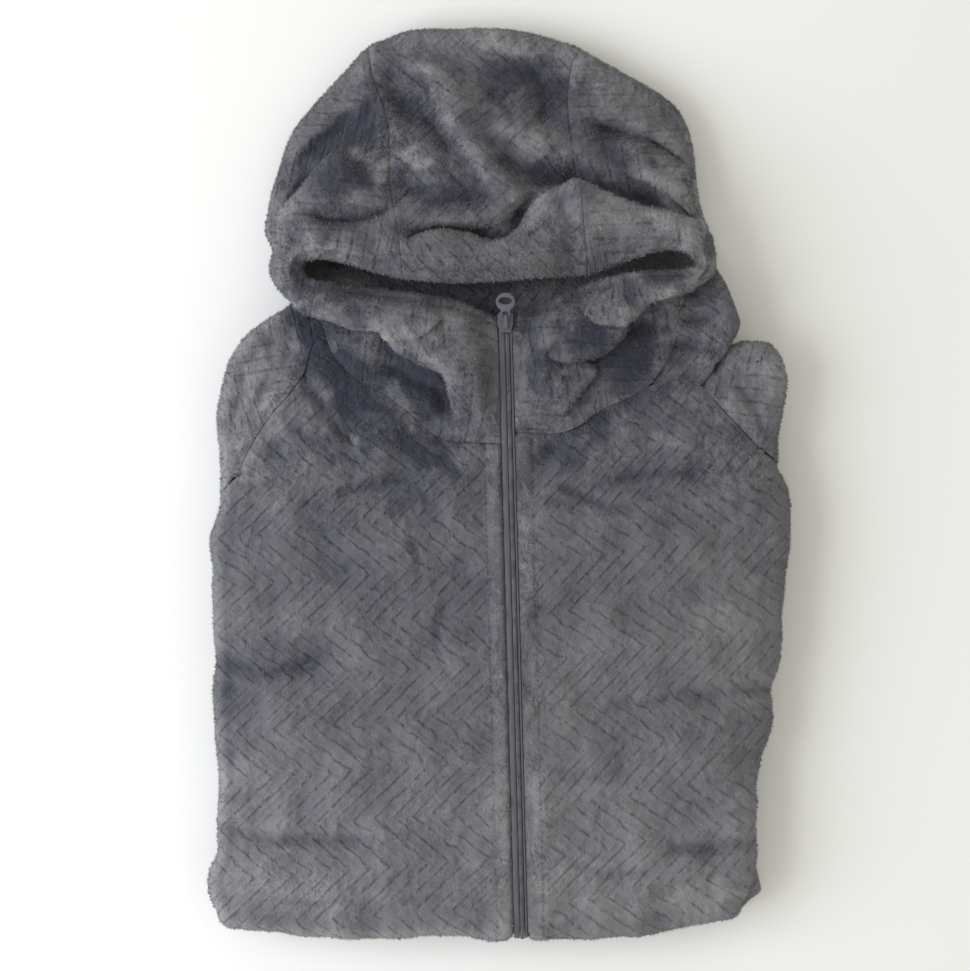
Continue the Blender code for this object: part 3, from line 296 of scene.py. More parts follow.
COLLAR_STEPS = table(Step,
    (9.0, 26, ((-150, 128), (-142, 124), (-133, 114), (-123, 109), (-105, 104), (-92, 99), (-73, 97),
               (-69, 92), (-62, 84), (-48, 77), (-35, 71), (-31, 65), (-29, 54), (-27, 38))),
    (4.4, 12, ((-76, 97), (-66, 92), (-58, 92), (-49, 93), (-40, 100), (-34, 106))),
    (9.0, 14, ((50, 112), (60, 103), (70, 101), (77, 101), (82, 104), (88, 109), (94, 115), (103, 118),
               (121, 123), (140, 132))),
    (8.0, 18, ((30, 82), (36, 79), (50, 78), (65, 83), (75, 91), (79, 98), (80, 106))),
    (5.5, 18, ((38, 42), (43, 48), (49, 56), (55, 63), (60, 71), (54, 76), (44, 77))))
COLLAR_CREASES = table(Crease,
    (1.6, 3.0, ((-96, 70), (-88, 74), (-73, 74), (-60, 70), (-50, 60))),
    (1.8, 3.4, ((-50, 64), (-40, 60), (-36, 50), (-34, 42))),
    (1.2, 2.8, ((-22, 100), (-30, 92), (-40, 84), (-46, 76))),
    (1.2, 3.0, ((18, 96), (24, 86), (24, 72), (18, 58))),
    (1.4, 3.0, ((36, 104), (42, 96), (46, 88), (44, 82))),
    (1.4, 3.4, ((104, 103), (112, 94), (112, 84), (104, 72))),
    (1.2, 3.0, ((-16, 66), (-20, 56), (-18, 44), (-22, 34))),
    (1.0, 2.6, ((28, 66), (34, 58), (32, 48), (28, 40))))
BACK_CREASES = table(Crease,
    (1.6, 3.0, ((104, 104), (112, 102), (124, 104), (136, 102))),
    (1.8, 3.0, ((104, 92), (116, 88), (132, 84), (146, 80))),
    (1.2, 3.0, ((120, 122), (130, 118), (140, 122))))
# Patches of brushed pile, and of painted shade in hollows and painted light on ridges
BRUSHED_AND_PAINTED_SHADE_PATCHES = table(Patch,
    (14, 256, 32, 20, -10, -0.75), (62, 224, 24, 9, -16, -0.45), (22, 199, 26, 7, 0, -0.5),
    (-56, 236, 32, 8, -42, -0.65), (-72, 262, 10, 10, 0, -0.3), (-98, 208, 36, 24, 70, -1.1),
    (-86, 238, 20, 14, 60, -0.4), (-132, 196, 18, 9, 70, -0.5), (-42, 182, 26, 7, 0, -0.5),
    (-34, 200, 16, 7, -10, -0.4), (-44, 264, 26, 7, -36, 0.35), (-38, 226, 11, 9, 0, 0.7),
    (-79, 201, 11, 12, 0, 1.2), (-56, 206, 14, 11, 0, 1.1), (24, 218, 24, 7, -24, 0.5),
    (52, 262, 12, 16, 0, 0.6), (80, 246, 30, 12, -36, 0.4), (114, 214, 24, 12, -50, 0.6),
    (20, 280, 46, 6, -6, 0.55), (60, 170, 30, 10, 0, 0.3), (24, 176, 13, 18, -30, 1.2),
    (-118, 230, 14, 11, 40, -0.3), (-110, 177, 30, 4, 8, 0.25), (-96, 146, 40, 8, 0, 0.35),
    (98, 158, 40, 9, -10, 0.5), (110, 188, 26, 13, -40, 1.25), (112, 142, 14, 8, 0, 0.75),
    (3, 162, 14, 9, 0, 0.8), (-18, 228, 18, 10, -60, -0.75), (44, 187, 14, 8, 0, -0.3),
    (-92, 165, 24, 3, 6, -0.4), (126, 150, 9, 18, 0, 1.25), (-66, 152, 26, 14, 0, -0.3),
    (84, 206, 16, 9, -20, -0.75), (-118, 144, 8, 8, 0, 0.4), (97, 122, 26, 9, 14, -1.05),
    (-118, 124, 22, 8, -20, -0.75), (-80, 86, 11, 6, -20, 0.4), (-84, 62, 28, 14, -42, -1.0),
    (-46, 60, 28, 13, -48, -1.2), (-72, 70, 24, 5, -12, -0.8), (-106, 76, 36, 15, -52, -1.35),
    (-76, 36, 40, 15, -38, -0.9), (-42, 20, 28, 12, -32, -0.7), (-101, 42, 22, 6, -58, 0.5),
    (-118, 24, 26, 9, -58, -0.4), (-122, 98, 18, 12, -50, -1.1), (-99, 103, 28, 8, -16, -0.65),
    (-58, 90, 20, 6, -30, 0.2), (-62, 82, 10, 6, -30, -0.3), (86, 84, 26, 14, 60, -0.6),
    (48, 90, 24, 16, 4, -0.8), (98, 62, 26, 10, 10, -0.6), (72, 88, 18, 8, 35, -0.5),
    (90, 112, 26, 6, 20, 0.3), (26, 68, 12, 22, 0, -0.6), (46, 58, 16, 12, 60, -0.35),
    (52, 26, 28, 12, 24, -0.75), (102, 42, 30, 12, 0, -0.5), (66, 52, 16, 6, 24, 0.25),
    (106, 101, 9, 10, 0, 0.6), (114, 84, 20, 10, 0, -0.35), (-18, 62, 8, 24, 0, -0.4),
    (-32, 102, 18, 9, 10, 0.5), (-15, 84, 7, 16, 0, 0.4), (24, 104, 14, 9, 0, -0.5),
    (128, 110, 22, 12, 70, -0.35), (102, 6, 40, 14, 14, -0.35), (-80, 8, 46, 12, -30, -0.25),
    (-36, 0, 26, 30, 0, -0.3), (-112, -20, 50, 16, 20, -0.2), (-130, -104, 46, 12, 8, -0.2),
    (-60, -60, 60, 30, 0, -0.15), (-150, -196, 34, 30, 0, 0.2), (-100, -256, 60, 20, 0, 0.1),
    (-50, -250, 26, 26, 0, -0.4), (80, -120, 60, 30, 8, 0.2), (134, -240, 14, 8, 0, -0.25),
    (70, -256, 50, 24, 0, 0.25), (126, -266, 34, 12, 6, 0.6), (-152, 44, 50, 18, 70, 0.75),
    (162, 62, 30, 22, 60, 0.5), (140, -150, 34, 8, 8, -0.2), (150, -110, 40, 34, 80, 0.35),
    (140, -60, 50, 20, 80, 0.25), (-160, -50, 30, 14, 80, 0.1), (-176, -170, 8, 60, 0, -0.4))
TURNED_EDGE_PAINTED_LIGHT = {-1: 0.6, 1: 0.15}      # painted light where the cloth turns over, more on the side towards the window light
LOWER_TONE = 0.42      # lighter towards the folded hem end
LOWER_TONE_FROM = -90.0
LOWER_TONE_TO = -250.0
PATCH_FADE = (0.55, 1.22)    # shares of a patch's size over which it fades out
FOLD_POINTS = 9
FOLD_REACH = 3.2       # how far a fold, crease or step is felt, in its own widths
CREASE_REACH = 4
STEP_REACH = 3
CREASE_SHOULDER = 0.38
SHOULDER_AT = 1.9      # in widths of the crease
SHOULDER_HALF = 0.9
VALLEY_POWER = 1.5
UNDER_STEP = 0.5       # of a step's rise, the hollow under its roll
STEP_FOOT = 0.9
STEP_ROUND = 9.0
STEP_HOLLOW = 0.7
STEP_LEAN = 0.42
STEP_LEAN_FROM = 0.8
STEP_LEAN_FLAT = 1.0
STEP_LEAN_FADE = 8.0
STEP_END_FADE = 0.12
STEP_FULL = 8.0        # rise at which a step has its full painted light and shade
STEP_LIGHT = 0.5
STEP_LIGHT_AT = 3.5
STEP_SHADE = 0.85

# Unevenness of pressed pile: size, rise and seed of each set of plane waves
WAVE_COUNT = 14
WAVE_SPREAD = (0.7, 1.5)
SOFT_WAVES = ((60, 0.9, 3), (26, 0.55, 4), (12, 0.30, 5), (7.5, 0.20, 6))
WANDER_ACROSS = ((30, 3.2, 71), (13, 1.3, 73))
WANDER_DOWN = ((30, 3.2, 72), (13, 1.3, 74))
PUCKER_WAVE = (15, 1.0, 9)
BULGE_WAVE = (34, 1.0)
LUMP_WAVE = (22, 1.0, 12)

# Trim
PILE_GAP = 0.05        # left between two pieces where the pile closes over their seam
SEAM_DEPTH = 1.0
SEAM_HALF = 2.8
SEAM_CLOSED = 0.85
SEAM_REACH = 4
SEAM_SHOULDER = 0.6
SEAM_SHOULDER_AT = 2.0
SEAM_SHOULDER_HALF = 0.9
NECK_CLOSED_FROM = (40, 54)          # up the garment
NECK_CLOSED_TO = (118, 130)          # out from its middle
SHOULDER_CLOSED_FROM = (62, 72)
HEM_SEAM_FADE = (170, 192)   # the hood's long seams are lost in the hem's roll
ZIP_EDGE_ROUND = 3.0
ZIP_EDGE_DROP = 1.3
BULGE = 0.6            # unevenness of the turned edges
TURN_LIT = (0.1, 0.9)  # over which the turned edge's painted light comes in
QUARTER_TURN = 1.57
# Painted shade from the cloth's own heights: darker in creases and troughs, lighter on ridges
CREASE_PAINTED_SHADE = 0.22
WAVE_PAINTED_SHADE = 0.10
FOLD_PAINTED_SHADE = 0.08
PUCKER_PAINTED_SHADE = 0.06
SLEEVE_WAVE_PAINTED_SHADE = 0.12
SLEEVE_WOOL = 0.7
SLEEVE_FOLLOWS = 4     # last rows of a sleeve head, which turn into the side's own edge
TUCK_FADE = 4.0
ZIP_CORNER_LIFT = 3.4
ZIP_CORNER_HALF = 2.4
ZIP_STITCH = 14.9      # from the zip's middle line to the top stitching
HEM_STITCH = 15.0      # from the hood's front edge to its hem stitching
PUCKER = 0.7           # small gathers along the zip
PUCKER_AT = 5.0
PUCKER_HALF = 5.5
PUCKER_STRETCH = 0.35
ZIP_STRIP_TONE = 0.3   # lighter pile on the strip along the zip
ZIP_STRIP_AT = 6.0
ZIP_STRIP_HALF = 5.0
ZIP_EDGE_SHADE = 0.5
ZIP_EDGE_SHADE_REACH = 1.5
ZIP_PLAIN = (-6.0, 4.0)      # from the stitching, where the embossing starts
ZIP_WOOL = 0.8
ZIP_WOOL_FADE = (-2.0, 6.0)
CHEST_WOOL = 0.75
CHEST_WOOL_FROM = (-60, 40)
NECK_HALF = 118.0
NECK_PLAIN_FADE = (2, 16)
STITCH_DEPTH = 0.8
STITCH_HALF = 1.1
NECK_SEAM_DEPTH = 0.35
RIM_ROUND = 15.0       # over which the hood's front edge rounds off
RIM_DROP = 7.0
COLLAR_ROUND = 24.0    # the same on the collar, which rolls over more softly
COLLAR_DROP = 11.0
RIM_KEPT = 0.55        # of each drop that goes into the rim, the rest lifts the crest
RIM_SHADE = 0.55
RIM_LUMPS = 1.9
RIM_LUMPS_AT = 9.0
RIM_LUMPS_STRETCH = 0.3
RIM_SHADE_REACH = 9.0
RIM_SHADE_ON_HOOD = 0.1      # of the collar's
# Painted shade from the hood's heights: darker in creases and troughs, lighter on ridges and lumps
HOOD_CREASE_PAINTED_SHADE = 0.24
HOOD_FOLD_PAINTED_SHADE = 0.075
LUMP_PAINTED_SHADE = 0.12
LEAN_FROM_RIM = (2, 9)
ON_NECK = 0.99
COLLAR_BELOW = 112.0
WIDTH_TAKEN = 80             # percentile of a hood piece's width that sets its columns
# painted light on the hood's outer edge, on the side towards the window light only
HOOD_EDGE_PAINTED_LIGHT = 0.35
HOOD_EDGE_FROM = 0.93
HIGH = 58.0            # above this the cloth's own weight flattens it
HIGH_ROOM = 8.0
INSIDE_TONE = 0.5      # lighter inside the hood, with painted shade darker again in its middle
INSIDE_SHADE = 0.8
INSIDE_DARK_FROM = (-96, -70)
INSIDE_DARK_TO = (4, 30)
BACK_WAVES = 0.6
# painted shade, darker in the back's creases
BACK_CREASE_PAINTED_SHADE = 0.25
BACK_WOOL = 0.8
CURL_REACH = 2.0
CURL_SPREAD = 0.4
HOOD_PLAIN = 0.04     # how far the pile hides the embossing on the hood
HOOD_WOOL = 0.88
HEM_TROUGH_AT = 33.0
HEM_TROUGH_HALF = 8.0
HEM_TROUGH = 2.6

# Mesh fineness
CELL = 1.8
CELLS_ROUND_ROLL = 14
CELLS_ROUND_LIP = 8
SUB = 12
CHUNK = 3000
LINE_STEPS = 6
FRONT_LENGTH = 350.0
SLEEVE_COLUMNS = 30
BACK_GRID = (110, 130)      # rows and columns
BACK_CLOSE = 1.5            # rows lie closer together towards the back's top
FAR_TRIM = 400.0       # for cloth with no stitched trim on it


def smooth_curve(points, steps=8, closed=False):
    """Catmull-Rom curve through the points."""
    pts = np.array(points, float)
    if closed:
        ext = np.vstack([pts[-1:], pts, pts[:2]])
    else:
        ext = np.vstack([2 * pts[0] - pts[1], pts, 2 * pts[-1] - pts[-2]])
    out = []
    for i in range(1, len(ext) - 2):
        a, b, c, d = ext[i - 1:i + 3]
        for t in np.arange(steps) / steps:
            out.append(0.5 * (2 * b + (c - a) * t + (2 * a - 5 * b + 4 * c - d) * t * t
                              + (3 * b - a - 3 * c + d) * t ** 3))
    if not closed:
        out.append(ext[-2])
    return np.array(out)


def resampled(curve, count, closed=False):
    """The curve's points spaced evenly along it."""
    line = np.vstack([curve, curve[:1]]) if closed else curve
    run = np.concatenate([[0], np.cumsum(np.linalg.norm(np.diff(line, axis=0), axis=1))])
    stops = np.linspace(0, run[-1], count + 1 if closed else count)
    if closed:
        stops = stops[:-1]
    return np.stack([np.interp(stops, run, line[:, k]) for k in range(line.shape[1])], axis=1)


def nearest(line, x, y):
    """Signed distance from each (x, y) to a polyline, positive on its left, how far along it is, and
    the direction to its left."""
    shape = np.shape(x)
    points = np.stack([np.ravel(x), np.ravel(y)], axis=1).astype(float)
    a, ab = line[:-1], np.diff(line, axis=0)
    size = np.maximum((ab ** 2).sum(1), 1e-9)
    run = np.concatenate([[0], np.cumsum(np.sqrt(size))])
    distance, share, left = np.empty(len(points)), np.empty(len(points)), np.empty((len(points), 2))
    for k in range(0, len(points), CHUNK):
        ap = points[k:k + CHUNK, None, :] - a
        t = np.clip((ap * ab).sum(-1) / size, 0, 1)
        square = ((ap - t[..., None] * ab) ** 2).sum(-1)
        best = square.argmin(1)
        row = np.arange(len(best))
        cross = ab[best, 0] * ap[row, best, 1] - ab[best, 1] * ap[row, best, 0]
        distance[k:k + CHUNK] = np.sqrt(square[row, best]) * np.where(cross < 0, -1, 1)
        share[k:k + CHUNK] = (run[best] + t[row, best] * np.sqrt(size[best])) / run[-1]
        left[k:k + CHUNK] = np.stack([-ab[best, 1], ab[best, 0]], axis=1) / np.sqrt(size[best])[:, None]
    return distance.reshape(shape), share.reshape(shape), left.reshape(*shape, 2)


def distance_to(line, x, y):
    return np.abs(nearest(line, x, y)[0])


def smoothstep(value, low, high):
    t = np.clip((value - low) / (high - low), 0, 1)
    return t * t * (3 - 2 * t)


def bell(value, middle, half):
    return np.exp(-((value - middle) / half) ** 2)


def rounding(share):
    """Quarter of a circle: nought at nought, one from one on."""
    return np.sqrt(1 - (1 - np.clip(share, 0, 1)) ** 2)


def arch(start, middle, end, t):
    """Curve through three heights, at nought, a half and one."""
    return start * (1 - t) * (1 - 2 * t) + 4 * middle * t * (1 - t) + end * t * (2 * t - 1)


def raised(plan, z):
    """Points from places on the plan and their heights."""
    return np.concatenate([plan, z[..., None]], axis=-1)


def within(line, margin, x, y):
    low, high = line.min(0) - margin, line.max(0) + margin
    return (x > low[0]) & (x < high[0]) & (y > low[1]) & (y < high[1])


def fold_height(folds, x, y):
    """Sum of the soft ridges and troughs at (x, y)."""
    x, y = np.asarray(x, float), np.asarray(y, float)
    total = np.zeros(x.shape)
    for f in folds:
        t = np.linspace(0, 1, FOLD_POINTS)[:, None]
        ends = np.array([[f.x0, f.y0], [f.x1, f.y1], [f.x2, f.y2]], float)
        bend = 2 * ends[1] - (ends[0] + ends[2]) / 2
        line = (1 - t) ** 2 * ends[0] + 2 * t * (1 - t) * bend + t ** 2 * ends[2]
        near = within(line, FOLD_REACH * f.width, x, y)
        if near.any():
            total[near] += f.rise * bell(distance_to(line, x[near], y[near]), 0, f.width)
    return total


def end_fade(share, reach=0.16):
    return smoothstep(share, 0, reach) * (1 - smoothstep(share, 1 - reach, 1))


def crease_height(creases, x, y):
    """Narrow valleys with soft shoulders."""
    total = np.zeros(np.shape(x))
    for c in creases:
        line = smooth_curve(c.points, LINE_STEPS)
        near = within(line, CREASE_REACH * c.width, x, y)
        if not near.any():
            continue
        signed, share, _ = nearest(line, x[near], y[near])
        d = np.abs(signed) / c.width
        valley = CREASE_SHOULDER * bell(d, SHOULDER_AT, SHOULDER_HALF) - np.exp(-d ** VALLEY_POWER)
        total[near] += c.depth * end_fade(share) * valley
    return total


def step_height(steps, x, y):
    """Edges of layers: a round roll on the left of each line, hanging over a hollow on its right.
    Gives the height, painted light on the roll and painted shade in the hollow under it, and how far the roll
    leans over."""
    total, shade, lean = np.zeros(np.shape(x)), np.zeros(np.shape(x)), np.zeros((*np.shape(x), 2))
    for s in steps:
        line = smooth_curve(s.points, LINE_STEPS)
        near = within(line, STEP_REACH * s.fall, x, y)
        if not near.any():
            continue
        d, share, left = nearest(line, x[near], y[near])
        fade = end_fade(share, STEP_END_FADE)
        on_roll = d > -STEP_FOOT
        under = STEP_HOLLOW * s.fall
        roll = (1 + UNDER_STEP) * rounding((d + STEP_FOOT) / STEP_ROUND) - UNDER_STEP
        roll = roll * bell(np.maximum(d - STEP_ROUND, 0), 0, s.fall)
        hollow = bell(np.minimum(d + STEP_FOOT, 0), 0, under)
        total[near] += s.rise * fade * np.where(on_roll, roll, -UNDER_STEP * hollow)
        light = STEP_LIGHT * bell(d, STEP_LIGHT_AT, STEP_LIGHT_AT)
        dark = -STEP_SHADE * np.exp(np.minimum(d, 0) / under)
        shade[near] += fade * min(1.0, s.rise / STEP_FULL) * np.where(on_roll, light, dark)
        over = STEP_LEAN * s.rise * fade * smoothstep(d, -STEP_FOOT, STEP_LEAN_FROM)
        over = over * bell(np.maximum(d - STEP_LEAN_FLAT, 0), 0, STEP_LEAN_FADE)
        lean[near] -= left * over[..., None]
    return total, shade, lean


def ripples(x, y, size, rise, seed):
    """Soft unevenness of pressed pile: plane waves of about one size, in every direction."""
    dice = np.random.default_rng(seed)
    total = np.zeros(np.shape(x))
    for _ in range(WAVE_COUNT):
        angle = dice.uniform(0, math.tau)
        length = size * dice.uniform(*WAVE_SPREAD)
        shift = dice.uniform(0, math.tau)
        along = (x * math.cos(angle) + y * math.sin(angle)) * math.tau / length
        total = total + np.sin(along + shift)
    return rise * total * math.sqrt(2 / WAVE_COUNT)


def wave_sum(waves, x, y):
    return sum(ripples(x, y, *wave) for wave in waves)


def brushed_and_painted_shade(x, y):
    """Tone of the pile in patches: brushed darker one way and lighter the other, with painted shade in
    hollows and painted light on ridges, and lighter towards the folded hem end.
    """
    total = np.zeros(np.shape(x))
    wander_x = wave_sum(WANDER_ACROSS, x, y)
    wander_y = wave_sum(WANDER_DOWN, x, y)
    for p in BRUSHED_AND_PAINTED_SHADE_PATCHES:
        turn = math.radians(p.angle)
        dx, dy = x + wander_x - p.x, y + wander_y - p.y
        along = (dx * math.cos(turn) + dy * math.sin(turn)) / p.along
        across = (-dx * math.sin(turn) + dy * math.cos(turn)) / p.across
        total = total + p.tone * (1 - smoothstep(np.hypot(along, across), *PATCH_FADE))
    return total + LOWER_TONE * smoothstep(-y, -LOWER_TONE_FROM, -LOWER_TONE_TO)


def zip_x(y):
    return ZIP_X + ZIP_LEAN * np.asarray(y, float)


def calm(x, y):
    """Nought on the zip and one away from it, for folds."""
    return smoothstep(np.abs(x - zip_x(y)), CALM_NEAR, CALM_FAR)


def corner(side, bottom, sign):
    """The sharp corner of the line where the top layer starts to turn down."""
    return np.array([side[-1].x - sign * ROLL, bottom.y + ROLL])


RIGHT_CORNER = corner(RIGHT_SIDE, BOTTOM[0], -1)
LEFT_CORNER = corner(LEFT_SIDE, BOTTOM[-1], 1)


def corner_arc(centre, start, stop):
    """Round corner of the silhouette about the corner of the turning line."""
    angles = np.radians(np.linspace(start, stop, 4))[1:-1]
    return [Point(*(centre + ROLL * np.array([math.cos(a), math.sin(a)]))) for a in angles]


def shoulder(rows):
    """The sleeve's silhouette, drawn in towards its armhole over the first rows."""
    points = []
    for k, row in enumerate(rows):
        edge = np.array([row.edge_x, row.edge_y], float)
        inward = np.array([row.seam_x, row.seam_y], float) - edge
        share = SHOULDER_INSET * max(0, 1 - k / SHOULDER_ROWS)
        points.append(Point(*(edge + inward / np.linalg.norm(inward) * share)))
    return points


def bundle_outline():
    """Closed silhouette of the folded bundle, anticlockwise from its right shoulder."""
    right = shoulder(RIGHT_SLEEVE[:-1])
    right += [Point(row.x, row.y) for row in RIGHT_SIDE]
    left = [Point(row.x, row.y) for row in reversed(LEFT_SIDE)]
    left += shoulder(LEFT_SLEEVE[:-1])[::-1]
    points = right + corner_arc(RIGHT_CORNER, 180, 270) + BOTTOM
    points += corner_arc(LEFT_CORNER, -90, 0) + left + BACK_EDGE[::-1]
    return smooth_curve(points, steps=6, closed=True)


OUTLINE = bundle_outline()
OUTLINE_LOOP = np.vstack([OUTLINE, OUTLINE[:1]])


def body_height(x, y):
    """Top of the cloth over the folded body, with its largest folds."""
    inside = np.maximum(distance_to(OUTLINE_LOOP, x, y) - ROLL, 0)
    crown = EDGE_TOP + CROWN * (1 - np.exp(-inside / CROWN_REACH))
    return crown + calm(x, y) * fold_height(BODY_FOLDS, x, y)


def neck_drop(x, y):
    across = 1 - smoothstep(np.abs(x - SPINE_X), NECK_HALF_WIDTH, NECK_HALF_WIDTH + NECK_SIDE_FADE)
    return NECK_DROP * across * smoothstep(y, NECK_START, NECK_END)


def hood_seat(x, y):
    across = 1 - smoothstep(np.abs(x - SPINE_X), SEAT_HALF_WIDTH, SEAT_HALF_WIDTH + SEAT_SIDE_FADE)
    return HOOD_SEAT * across * smoothstep(y, SEAT_START, SEAT_END)


def layers_height(x, y):
    """Top of the hidden layers: under the lowest cloth near by."""
    around = [body_height(x, y)]
    for k in range(NEAR_WAYS):
        angle = k * math.tau / NEAR_WAYS
        around.append(body_height(x + NEAR_BY * math.cos(angle), y + NEAR_BY * math.sin(angle)))
    lowest = np.minimum.reduce(around)
    return lowest - WALL - LAYER_GAP - neck_drop(x, y) - hood_seat(x, y)


def side_line(rows, y, sign):
    """Where the front starts to turn down, and its outward direction, at each y."""
    curve = smooth_curve([(row.y, row.x) for row in rows])[::-1]
    x = np.interp(y, curve[:, 0], curve[:, 1]) - sign * ROLL
    slope = np.interp(y, curve[:, 0], np.gradient(curve[:, 1], curve[:, 0]))
    slope = slope * smoothstep(y, rows[-1].y, rows[-1].y + CORNER_STRAIGHT)
    size = np.sqrt(1 + slope ** 2)
    return x, sign / size, -sign * slope / size


def bottom_line(x):
    curve = smooth_curve(BOTTOM)
    return np.interp(x, curve[:, 0], curve[:, 1]) + ROLL


def seam_shows(x, y):
    """One where a seam is open enough to see; the pile closes over it round the neck."""
    neck = smoothstep(y, *NECK_CLOSED_FROM) * (1 - smoothstep(np.abs(x), *NECK_CLOSED_TO))
    return 1 - SEAM_CLOSED * np.maximum(neck, smoothstep(y, *SHOULDER_CLOSED_FROM))


def seam_dip(lines, x, y, depth=SEAM_DEPTH):
    """Groove where two pieces are sewn together."""
    total = np.zeros(np.shape(x))
    for line in lines:
        near = within(line, SEAM_REACH * SEAM_HALF, x, y)
        if near.any():
            d = distance_to(line, x[near], y[near]) / SEAM_HALF
            shoulders = SEAM_SHOULDER * bell(d, SEAM_SHOULDER_AT, SEAM_SHOULDER_HALF)
            total[near] += depth * (shoulders - bell(d, 0, 1))
    return total


def stitch_dip(distance, stitch_at):
    return -STITCH_DEPTH * bell(distance, stitch_at, STITCH_HALF)


def zip_pucker(x, y, from_edge):
    """Small lumps where the cloth is gathered a little on the zip."""
    near = bell(from_edge, PUCKER_AT, PUCKER_HALF) * (from_edge > 0)
    return near * ripples(x * PUCKER_STRETCH, y, *PUCKER_WAVE)


def zip_edge_drop(from_edge):
    return ZIP_EDGE_DROP * (1 - rounding(from_edge / ZIP_EDGE_ROUND))


class Surface:
    """Points of a cloth face in rows, with its unrolled plan, trim distances, the pile's tone with its
    painted light and shade, how far it hides the embossing (plain) and how ruffled it is (wool)."""

    def __init__(self, points, plan, trim, tone, plain, wool):
        self.wool = wool + 0 * tone
        self.points = points
        self.plan = plan
        self.trim = trim
        self.tone = tone
        self.plain = plain


def folded_front(sign, rows, s, y_top, t, side_turn, bottom_turn):
    """Plan, outward direction, start height place and turn of a front's points."""
    foot = RIGHT_CORNER if sign < 0 else LEFT_CORNER
    seam_y = y_top - SIDE_SHEAR[sign] * ROLL * side_turn
    y = seam_y + 0 * t
    for _ in range(4):
        low = bottom_line(zip_x(y) + s * (side_line(rows, y, sign)[0] - zip_x(y)))
        low = low + (foot[1] - low) * smoothstep(s, CORNER_BLEND, 1.0)
        y = seam_y + t * (low - seam_y)
    side_x, normal_x, normal_y = side_line(rows, y, sign)
    start = zip_x(y) + sign * ZIP_HALF
    x = start + s * (side_x - start)
    turn = np.maximum(side_turn, bottom_turn)
    mix = np.arctan2(bottom_turn, side_turn)
    out_x = normal_x * np.cos(mix)
    out_y = normal_y * np.cos(mix) - np.sin(mix)
    size = np.hypot(out_x, out_y)
    turned = turn > 0
    return x, y, np.where(turned, out_x / size, 0), np.where(turned, out_y / size, 0), turn


def front_surface(sign, seam, rows, seed):
    """A front from its neck and armhole seam to the folded side and the folded hem end."""
    curve = smooth_curve(seam, SUB)
    length = np.linalg.norm(np.diff(curve, axis=0), axis=1).sum()
    top = resampled(curve, int(length / CELL))
    start = zip_x(top[:, 1]) + sign * ZIP_HALF
    side_x = side_line(rows, np.minimum(top[:, 1], rows[0].y), sign)[0]
    s = np.clip((top[:, 0] - start) / (side_x - start), 0, 1)
    s[0], s[-1] = 0, 1
    turns = np.linspace(0, TURN, CELLS_ROUND_ROLL + 1)[1:]
    s = np.concatenate([s, np.ones(len(turns))])[None, :]
    y_top = np.concatenate([top[:, 1], np.full(len(turns), top[-1, 1])])[None, :]
    side_turn = np.concatenate([np.zeros(len(top)), turns])[None, :]
    down = np.linspace(0, 1, int(FRONT_LENGTH / CELL))
    t = np.concatenate([down, np.ones(len(turns))])[:, None]
    bottom_turn = np.concatenate([np.zeros(len(down)), turns])[:, None]
    x, y, out_x, out_y, turn = folded_front(sign, rows, s, y_top, t, side_turn, bottom_turn)
    along = np.abs(x - zip_x(y))
    from_edge = along - ZIP_HALF
    creases = crease_height(BODY_CREASES, x, y)
    waves = wave_sum(SOFT_WAVES, x, y)
    z = body_height(x, y) + calm(x, y) * (creases + waves) + seam_dip([curve], x, y) * seam_shows(x, y)
    z = z - zip_edge_drop(from_edge)
    pucker = zip_pucker(x, y, from_edge)
    z = z + stitch_dip(along, ZIP_STITCH) + PUCKER * pucker
    lift = ZIP_CORNER_LIFT * np.exp(-np.maximum(from_edge, 0) / ZIP_CORNER_HALF)
    lift = lift * np.sin(np.minimum(turn, QUARTER_TURN))
    reach = ROLL * np.sin(turn) + BULGE * ripples(x, y, *BULGE_WAVE, seed + 5) * np.sin(turn)
    points = np.stack([x + out_x * reach, y + out_y * reach + lift, z - ROLL * (1 - np.cos(turn))], axis=-1)
    plan = np.stack([x + out_x * ROLL * turn, y + out_y * ROLL * turn], axis=-1)
    trim = np.stack([along, plan[..., 1]], axis=-1)
    # The pile's tone with painted shade: darker in creases, troughs and at the zip's edge, lighter on ridges
    # and puckers
    tone = brushed_and_painted_shade(x, y) + CREASE_PAINTED_SHADE * creases + WAVE_PAINTED_SHADE * waves
    tone = tone + FOLD_PAINTED_SHADE * fold_height(BODY_FOLDS, x, y)
    tone = tone + PUCKER_PAINTED_SHADE * pucker + ZIP_STRIP_TONE * bell(from_edge, ZIP_STRIP_AT, ZIP_STRIP_HALF)
    tone = tone - ZIP_EDGE_SHADE * np.exp(-np.maximum(from_edge, 0) / ZIP_EDGE_SHADE_REACH)
    # painted light where the cloth turns over
    tone = tone + TURNED_EDGE_PAINTED_LIGHT[sign] * smoothstep(turn, *TURN_LIT)
    from_stitch = along - ZIP_STITCH
    neck = curve[np.abs(curve[:, 0]) < NECK_HALF]
    neck_plain = HOOD_PLAIN * (1 - smoothstep(distance_to(neck, x, y), *NECK_PLAIN_FADE))
    plain = np.maximum(1 - smoothstep(from_stitch, *ZIP_PLAIN), neck_plain)
    zip_wool = ZIP_WOOL * (1 - smoothstep(from_stitch, *ZIP_WOOL_FADE))
    wool = np.maximum(CHEST_WOOL * smoothstep(y, *CHEST_WOOL_FROM), zip_wool)
    return Surface(points, plan, trim, tone, plain, wool)


def edge_normals(points):
    """Outward directions along a silhouette given in anticlockwise order."""
    tangent = np.gradient(np.array(points, float), axis=0)
    normal = np.stack([tangent[:, 1], -tangent[:, 0]], axis=1)
    return normal / np.linalg.norm(normal, axis=1)[:, None]


